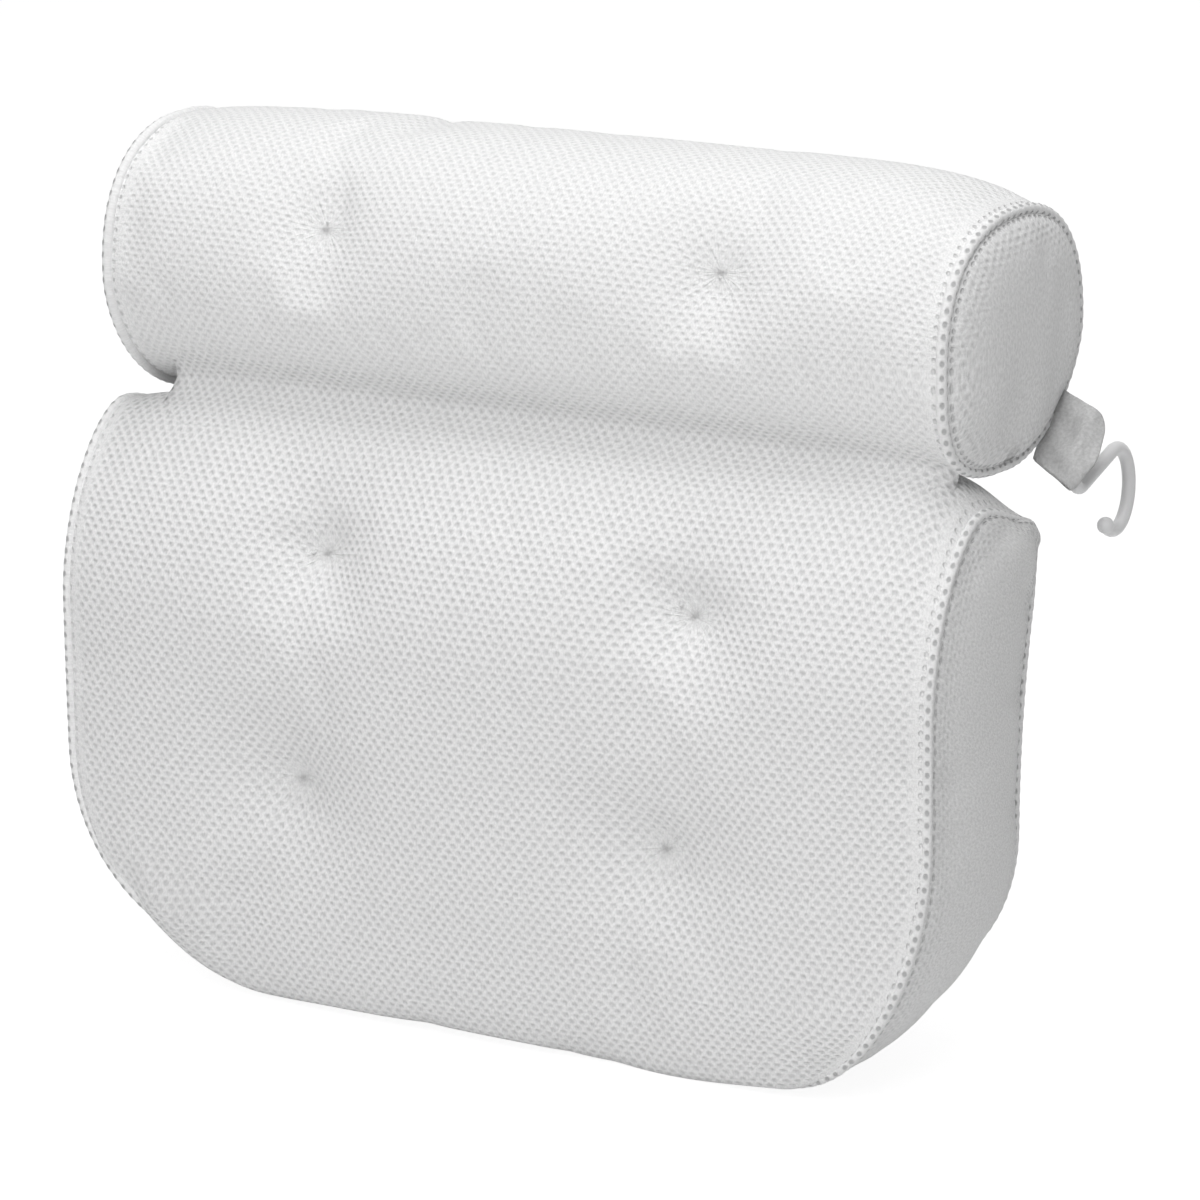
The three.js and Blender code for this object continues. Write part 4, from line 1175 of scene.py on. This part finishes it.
def make_crease():
    """The cloth's soft valley where pad and roll meet, lapped onto both."""
    run = PROFILE.top_run - CREASE_BACK
    low, low_on, low_out = lap(pad_front, run - CREASE_LAP, run)
    turn_lap = CREASE_LAP / ROLL_DEPTH
    high, high_on, _ = lap(roll_skin, CREASE_TURN, CREASE_TURN - turn_lap)
    reach = CREASE_REACH * np.linalg.norm(high[:, 0] - low[:, -1], axis=-1, keepdims=True)
    share = np.linspace(0, 1, VALLEY_COUNT)[None, 1:-1, None]
    first, last = low[:, -1][:, None], high[:, 0][:, None]
    after = first + (low_on[:, -1] * reach)[:, None]
    before = last - (high_on[:, 0] * reach)[:, None]
    left = 1 - smoothstep(CREASE_COLUMNS, CREASE_LEFT, CREASE_LEFT + CREASE_END)[:, None]
    right = smoothstep(CREASE_COLUMNS, CREASE_RIGHT - CREASE_END, CREASE_RIGHT)[:, None]
    valley = (first * (1 - share) ** 3 + 3 * after * share * (1 - share) ** 2
              + 3 * before * share ** 2 * (1 - share) + last * share ** 3)
    valley[..., 1] += CREASE_RIGHT_BACK * right * 4 * (share * (1 - share))[..., 0]
    line = np.concatenate([low, valley, high], axis=1)
    on = unit(np.gradient(line, axis=1))
    across = unit(np.gradient(line, axis=0))
    out = unit(np.cross(across, on))
    middle = len(line) // 2
    if out[middle, LAP_COUNT // 2] @ low_out[middle, LAP_COUNT // 2] < 0:
        out = -out
    length = runs_along(line, axis=1)
    inset = np.minimum(length, length[:, -1:] - length)
    edge, within, ends = CREASE_LIFTS
    lift = edge + within * smoothstep(inset, 0, CREASE_LAP) - ends * np.maximum(left, right)
    thick = CREASE_THICK * smoothstep(inset, 0, CREASE_TAPER)
    faces = [line + out * lift[..., None],
             line + out * (lift - thick)[..., None] - out * CREASE_HAIR]
    cloth = np.stack([line[..., 0], run - CREASE_LAP + length], -1)
    seam = np.stack([line[..., 0], np.full(length.shape, CREASE_SEAM)], -1)
    strip = thin_cover("crease_strip", "pad_mesh", faces, cloth, seam)
    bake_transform(strip)


WEB_SINK = 0.002  # how far the web's foot and head lie within pad and roll
WEB_RISE = 0.004
WEB_HALF = 0.0006
WEB_SEAM = 0.02


def make_web():
    """The strip of mesh that joins roll and pad in the crease."""
    low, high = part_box("hinge_web")
    x = np.linspace(low.x, high.x, 61)
    share = np.linspace(0, 1, 7)
    middle = (low.y + high.y) / 2
    foot = PROFILE.at(PROFILE.run_at_depth(middle))[1] - WEB_SINK
    head = ROLL_Z - ROLL_HEIGHT + WEB_RISE
    height = (foot + (head - foot) * share)[:, None]
    faces = [np.stack(np.broadcast_arrays(x[None, :], middle + side * WEB_HALF, height), -1)
             for side in (-1, 1)]
    cloth = faces[0][..., [0, 2]]
    web = thin_cover("crease_web", "side_mesh", faces, cloth, cloth + (0, WEB_SEAM - foot))
    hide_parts("hinge_web")
    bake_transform(web)


# Hardware and thread

GAP = 0.0003  # between pieces that move on each other

# Radius and depth of the cup's section, from the head's middle round to the hollow
CUP_PROFILE = (
    (0.0, -0.0065), (0.0060, -0.0065), (0.0070, -0.0058), (0.0068, -0.0042), (0.0042, -0.0038),
    (0.0040, -0.0020), (0.0040, 0.0018), (0.0082, 0.0019), (0.0092, 0.0026), (0.0104, 0.0060),
    (0.0150, 0.0085), (0.0205, 0.0110), (0.0248, 0.0138), (0.0270, 0.0160), (0.0275, 0.0168),
    (0.0272, 0.0170), (0.0262, 0.0166), (0.0235, 0.0150), (0.0195, 0.0127), (0.0140, 0.0103),
    (0.0080, 0.0088), (0.0, 0.0084),
)
SPIN_STEPS = 64


def spun(name, profile, centre):
    """A profile spun round the way to the wall, closed at its poles."""
    bpy.ops.object.select_all(action="DESELECT")
    mesh = bpy.data.meshes.new(name)
    mesh.from_pydata([(centre.x + r, centre.y + d, centre.z) for r, d in profile],
                     [(k, k + 1) for k in range(len(profile) - 1)], [])
    obj = bpy.data.objects.new(name, mesh)
    bpy.context.collection.objects.link(obj)
    alone(obj)
    bpy.ops.object.mode_set(mode="EDIT")
    bpy.ops.mesh.select_all(action="SELECT")
    bpy.ops.mesh.spin(steps=SPIN_STEPS, angle=2 * math.pi, center=centre, axis=(0, 1, 0))
    bpy.ops.mesh.select_all(action="SELECT")
    bpy.ops.mesh.remove_doubles(threshold=1e-6)
    bpy.ops.mesh.normals_make_consistent(inside=False)
    bpy.ops.object.mode_set(mode="OBJECT")
    obj.data.shade_smooth()
    return obj


CUPS = ("pad_left_upper", "pad_right_upper", "pad_left_lower", "pad_right_lower",
        "roll_left", "roll_right")


def make_cups():
    for name in CUPS:
        low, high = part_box(name + "_eyelet")
        centre = Vector(((low.x + high.x) / 2, low.y - GAP, (low.z + high.z) / 2))
        cup = spun(name + "_suction_cup", CUP_PROFILE, centre)
        cup.data.materials.append(material("cup"))
        seat(cup, "cup", name + "_cup", name + "_cup")


EYELET_BORE = 0.0044
EYELET_ROUNDS = (0.0006, 0.0012, 0.0003)  # at the bore, at the rim's top and at its side
EYELET_HEIGHTS = (0.7, 0.6)  # where those begin, in shares of the ring's height


def make_eyelets():
    bore_round, rim_round, rim_side = EYELET_ROUNDS
    bore_start, rim_start = EYELET_HEIGHTS
    for name in CUPS:
        low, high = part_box(name + "_eyelet")
        centre = Vector(((low.x + high.x) / 2, low.y, (low.z + high.z) / 2))
        radius, thick = (high.x - low.x) / 2, high.y - low.y
        profile = [(EYELET_BORE, 0.0), (EYELET_BORE, thick * bore_start),
                   (EYELET_BORE + bore_round, thick), (radius - rim_round, thick),
                   (radius - rim_side, thick * rim_start), (radius, 0.0), (EYELET_BORE, 0.0)]
        ring = spun(name + "_ring", profile, centre)
        ring.data.materials.append(material("thread"))
        seat(ring, "piping", name.split("_")[0], name + "_eyelet")


def bent_rod(name, points, radius, ball):
    """A round rod along a line through points, with a ball on its tip."""
    bpy.ops.object.select_all(action="DESELECT")
    bpy.ops.curve.primitive_nurbs_path_add()
    obj = bpy.context.object
    obj.name = name
    curve = obj.data
    curve.splines.clear()
    line = curve.splines.new("POLY")
    line.points.add(len(points) - 1)
    for place, point in zip(line.points, points):
        place.co = (*point, 1)
    curve.dimensions = "3D"
    curve.bevel_depth = radius
    curve.bevel_resolution = 6
    curve.use_fill_caps = True
    obj.location = (0, 0, 0)
    alone(obj)
    bpy.ops.object.convert(target="MESH")
    obj = bpy.context.object
    bpy.ops.mesh.primitive_uv_sphere_add(segments=28, ring_count=16, radius=ball,
                                         location=points[-1])
    tip = bpy.context.object
    bpy.ops.object.transform_apply(location=True, rotation=True, scale=True)
    tip.select_set(True)
    obj.select_set(True)
    bpy.context.view_layer.objects.active = obj
    bpy.ops.object.join()
    obj.data.shade_smooth()
    return obj


# Hook and strap, from the centre line of the strap's tunnel
TUNNEL_ANGLE = 48 * DEG
TUNNEL_LENGTH = 0.024
HOOK_ROD = 0.0025
HOOK_BALL = 0.0031
HOOK_TAIL = 0.009
HOOK_BEND = 0.0046
HOOK_SHANK = 0.025
SHANK_ANGLE = 18 * DEG
MOUTH_DEPTH = 0.0115
MOUTH_HEIGHT = 0.015
TIP_ANGLE = -128 * DEG


def upright(angle, wide=1.0, tall=1.0):
    """A place round an oval in the hook's upright plane."""
    return np.array([0, wide * math.cos(angle), tall * math.sin(angle)])


TUNNEL_MIDDLE = np.array([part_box("hang_hook")[0].x + HOOK_BALL, 0.0145, 0.1165])
TUNNEL_WAY = upright(TUNNEL_ANGLE)


def hook_line():
    """The rod's centre line in its upright plane: tail, bend, shank and open mouth."""
    leave = TUNNEL_MIDDLE - TUNNEL_WAY * (TUNNEL_LENGTH / 2 + GAP)
    line = [leave + TUNNEL_WAY * HOOK_TAIL]
    start = math.pi + TUNNEL_ANGLE
    middle = leave + HOOK_BEND * upright(start + math.pi / 2)
    for turn in np.linspace(start - math.pi / 2, 2 * math.pi + SHANK_ANGLE - math.pi / 2, 15):
        line.append(middle + HOOK_BEND * upright(turn))
    shank = line[-1] + HOOK_SHANK * upright(SHANK_ANGLE)
    first = math.pi - math.atan2(MOUTH_HEIGHT * math.cos(SHANK_ANGLE),
                                 MOUTH_DEPTH * math.sin(SHANK_ANGLE))
    mouth = shank - upright(first, MOUTH_DEPTH, MOUTH_HEIGHT)
    for turn in np.linspace(first, TIP_ANGLE, 28):
        line.append(mouth + upright(turn, MOUTH_DEPTH, MOUTH_HEIGHT))
    return np.array(line)


def make_hook():
    hook = bent_rod("hook_rod", hook_line().tolist(), HOOK_ROD, HOOK_BALL)
    hook.data.materials.append(material("hook"))
    seat(hook, "hook", "hook", "hang_hook")


# The strap's folded tab lies in the plane of the roll's end and the tunnel: places out from the
# rod's line and along it, for the sewn root and round the loose edge
STRAP_ROOT = ((-0.0170, -0.0112), (-0.0172, 0.0190))
STRAP_EDGE = ((0.0004, -0.0209), (0.0085, -0.0160), (0.0090, 0.0040), (0.0019, 0.0107))
STRAP_ROD_HALF = 0.0040
STRAP_FLAT_HALF = 0.0016
STRAP_LAYER = 0.0011
STRAP_ROWS, STRAP_COLUMNS = 41, 57
STRAP_SWELL = 0.0045  # how far from the rod its swelling of the band reaches
STRAP_FOLD = 0.72  # the share of the way out at which the two layers start to close
STRAP_HEM = 0.3  # how much flatter the band is at its two hems
STRAP_SAGS = (0.0006, 0.0004)


def strap_layer(inset):
    """One face of the folded band, from its front root round the rod to its rear root."""
    along = np.linspace(0, 1, STRAP_ROWS)[:, None, None]
    edge = np.vstack([STRAP_EDGE[0], bezier(STRAP_EDGE, STRAP_ROWS - 1)])[:, None]
    root = np.array(STRAP_ROOT[0]) * (1 - along) + np.array(STRAP_ROOT[1]) * along
    round_rod = np.linspace(-1, 1, STRAP_COLUMNS)
    share = np.sin((1 - np.abs(round_rod)) * math.pi / 2)[None, :, None]
    share = share * (1 - inset / (STRAP_EDGE[1][0] - STRAP_ROOT[0][0]))
    flat = root * (1 - share) + edge * share
    out, up = flat[..., 0], flat[..., 1]
    swell = np.exp(-(out / STRAP_SWELL) ** 2)
    half = STRAP_FLAT_HALF + (STRAP_ROD_HALF - STRAP_FLAT_HALF) * swell
    bend = np.clip((share[..., 0] / share.max() - STRAP_FOLD) / (1 - STRAP_FOLD), 0, 1)
    hem = 1 - STRAP_HEM * np.abs(2 * along[..., 0] - 1) ** 10
    half = np.maximum(half * hem - inset, 0.0002) * np.sqrt(1 - bend ** 2) * -np.sign(round_rod)
    sag = (STRAP_SAGS[0] * np.sin(up * 420 + out * 260)
           + STRAP_SAGS[1] * np.sin(up * 190 - out * 520 + 1.0))
    sag = sag * smoothstep(share[..., 0], 0.05, 0.4)
    normal = np.array([0, -TUNNEL_WAY[2], TUNNEL_WAY[1]])
    points = (TUNNEL_MIDDLE + out[..., None] * np.array([1.0, 0, 0]) + up[..., None] * TUNNEL_WAY
              + (sag + half)[..., None] * normal)
    return points, up


def make_strap():
    """The band of mesh sewn into the seam and folded round the hook's rod."""
    (outer, up), (inner, _) = strap_layer(0.0), strap_layer(STRAP_LAYER)
    length = runs_along(outer, axis=1)
    cloth = np.stack([up, length], -1)
    strap = thin_cover("hook_strap", "strap_mesh", (outer, inner), cloth, cloth)
    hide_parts("hang_strap")
    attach(strap, "strap")


THREAD_RADIUS = 0.0006
THREAD_ENDS = (0.001, 0.0005)  # how far a thread stops short of its tie, front and rear
ROLL_THREAD_DROP = 0.002


def make_stitches():
    """Each tie's thread, through the pad or slanting down through the roll."""
    for name in ("pad_tie_left_upper", "pad_tie_left_lower", "pad_tie_right_upper",
                 "pad_tie_right_lower", "roll_tie_left", "roll_tie_right"):
        low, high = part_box(name)
        x, z = (low.x + high.x) / 2, (low.z + high.z) / 2
        top, foot = (z, z) if name.startswith("pad") else (high.z - ROLL_THREAD_DROP,
                                                           low.z + ROLL_THREAD_DROP)
        front = Vector((x, low.y + THREAD_ENDS[0], top))
        rear = Vector((x, high.y - THREAD_ENDS[1], foot))
        path = np.array([front.lerp(rear, k / 20) for k in range(21)])
        ahead = np.broadcast_to(unit(np.array(rear - front)), path.shape)
        side = np.broadcast_to(np.array([1.0, 0, 0]), path.shape)
        thread = tube(name + "_thread", path, side, np.cross(ahead, side), THREAD_RADIUS,
                      "thread", sides=8)
        seat(thread, "thread", name.split("_")[0], name)


# Stage

CAMERA_AZIMUTH = 31 * DEG
CAMERA_HEIGHT = 13 * DEG
CAMERA_DISTANCE = 2.2
CAMERA_AIM = Vector((0, 0, 0.0995))
FOCAL_PIXELS = 5964
PICTURE_PIXELS = 1200
SENSOR = 36.0
AIM_PIXEL = (600.88, 434.1)
CAMERA_ROLL = -0.47 * DEG


def towards(azimuth, height):
    """The way to a camera or lamp, from its turn to the right of the front and its height."""
    return Vector((math.sin(azimuth) * math.cos(height), -math.cos(azimuth) * math.cos(height),
                   math.sin(height)))


def make_camera():
    back = towards(CAMERA_AZIMUTH, CAMERA_HEIGHT)
    level = back.to_track_quat("Z", "Y").to_matrix()
    middle = PICTURE_PIXELS / 2
    tilt = math.atan((AIM_PIXEL[1] - middle) / FOCAL_PIXELS)
    pan = math.atan((AIM_PIXEL[0] - middle) / FOCAL_PIXELS)
    turned = (level @ Matrix.Rotation(CAMERA_ROLL, 3, "Z") @ Matrix.Rotation(tilt, 3, "X")
              @ Matrix.Rotation(pan, 3, "Y"))
    bpy.ops.object.camera_add(location=CAMERA_AIM + back * CAMERA_DISTANCE,
                              rotation=turned.to_euler())
    camera = bpy.context.object
    camera.name = "photograph"
    camera.data.sensor_width = SENSOR
    camera.data.lens = FOCAL_PIXELS * SENSOR / PICTURE_PIXELS
    camera.data.clip_end = 60
    bpy.context.scene.camera = camera


WORLD_LEVEL = 0.165
LAMP_AIM = Vector((0, 0, 0.05))
LAMP_DISTANCE = 2.6
LAMP_SIZE = 1.6
LAMPS = (  # name, turn to the right of the front, height, level
    ("front", 6 * DEG, 35 * DEG, 0.334),
    ("right", 35 * DEG, 55 * DEG, 0.210),
    ("above", 0, 88 * DEG, 0.440),
    ("behind", 170 * DEG, 60 * DEG, 0.083),
)
FLOOR_TONE = 0.85
FLOOR_DROP = 0.0088  # how far the front cloth hangs below its seam
FLOOR_GLOW = 0.92
FLOOR_PALE = 0.22


def area_light(name, azimuth, height, level):
    """A soft lamp aimed at the pillow; level is what a white card facing it would show."""
    way = towards(azimuth, height)
    bpy.ops.object.light_add(type="AREA", radius=LAMP_SIZE / 2,
                             location=LAMP_AIM + way * LAMP_DISTANCE,
                             rotation=way.to_track_quat("Z", "Y").to_euler())
    lamp = bpy.context.object
    lamp.name = name
    lamp.data.shape = "DISK"
    lamp.data.size = LAMP_SIZE
    lamp.data.energy = level * (math.pi * LAMP_DISTANCE) ** 2


def make_world():
    """Dim light from all round, on a background that looks white."""
    world = bpy.data.worlds.new("studio")
    bpy.context.scene.world = world
    recipe = Recipe(world)
    recipe.tree.nodes.clear()
    light, white = (recipe.node("Background", full((1, 1, 1)), strength)
                    for strength in (WORLD_LEVEL, 1.0))
    mix = recipe.node("MixShader", recipe.seen(), light.outputs[0], white.outputs[0])
    recipe.node("OutputWorld", mix.outputs[0])


def make_floor():
    bpy.ops.mesh.primitive_plane_add(size=24, location=(0, 0, PAD_BOTTOM - FLOOR_DROP))
    floor = bpy.context.object
    floor.name = "floor"
    bpy.ops.object.transform_apply(location=True, rotation=True, scale=True)
    recipe = Recipe(bpy.data.materials.new("floor"))
    recipe.tree.nodes.remove(recipe.shader)
    plain, pale = (recipe.node("BsdfDiffuse", full((tone,) * 3))
                   for tone in (FLOOR_TONE, FLOOR_PALE))
    glow = recipe.node("Emission", full((1, 1, 1)), FLOOR_GLOW)
    added = recipe.node("AddShader", pale.outputs[0], glow.outputs[0])
    mix = recipe.node("MixShader", recipe.seen(), plain.outputs[0], added.outputs[0])
    recipe.put(recipe.tree.nodes["Material Output"].inputs[0], mix.outputs[0])
    floor.data.materials.append(recipe.owner)


def make_stage():
    make_camera()
    make_world()
    make_floor()
    for name, azimuth, height, level in LAMPS:
        area_light(name, azimuth, height, level)
    bpy.context.scene.view_settings.view_transform = "Standard"


def operator(name, label, note, *makers):
    """An operator that runs makers in order."""

    def execute(self, context):
        for maker in makers:
            maker()
        return {"FINISHED"}

    return type("PILLOW_OT_" + name, (bpy.types.Operator,), {
        "bl_idname": "pillow." + name, "bl_label": label, "__doc__": note, "execute": execute})


OPERATORS = (
    operator("stage", "Stage", "Camera, floor, world and lamps.", make_stage),
    operator("pad", "Pad", "The pad's cover and its bound seams.", make_pad_cover, make_pad_beads),
    operator("roll", "Roll", "The roll's cover and its bound seams.", make_roll_cover,
             make_roll_beads),
    operator("web", "Web", "The web and the soft valley of cloth in the crease.", make_web,
             make_crease),
    operator("hook", "Hook and strap", "The hook and the strap that holds it.", make_hook,
             make_strap),
    operator("cups", "Suction cups", "The cups and their sewn eyelets.", make_cups, make_eyelets),
    operator("stitches", "Stitches", "The thread of each tie.", make_stitches),
)


class PILLOW_PT_panel(bpy.types.Panel):
    """Lists the pillow's operators and sizes."""

    bl_label = "Bath pillow"
    bl_space_type = "VIEW_3D"
    bl_region_type = "UI"
    bl_category = "Pillow"

    def draw(self, context):
        for kind in OPERATORS:
            self.layout.operator(kind.bl_idname)
        for group in (context.scene.pillow_sizes, context.scene.pillow_colours):
            for key in group.bl_rna.properties.keys()[2:]:
                self.layout.prop(group, key)


CLASSES = (PillowSizes, PillowColours, *OPERATORS, PILLOW_PT_panel)


def register():
    for kind in CLASSES:
        bpy.utils.register_class(kind)
    bpy.types.Scene.pillow_sizes = bpy.props.PointerProperty(type=PillowSizes)
    bpy.types.Scene.pillow_colours = bpy.props.PointerProperty(type=PillowColours)


def unregister():
    del bpy.types.Scene.pillow_sizes
    del bpy.types.Scene.pillow_colours
    for kind in reversed(CLASSES):
        bpy.utils.unregister_class(kind)


def main():
    register()
    bpy.ops.pillow.stage()
    bpy.ops.pillow.pad()
    bpy.ops.pillow.roll()
    bpy.ops.pillow.web()
    bpy.ops.pillow.hook()
    bpy.ops.pillow.cups()
    bpy.ops.pillow.stitches()


if __name__ == "__main__":
    main()
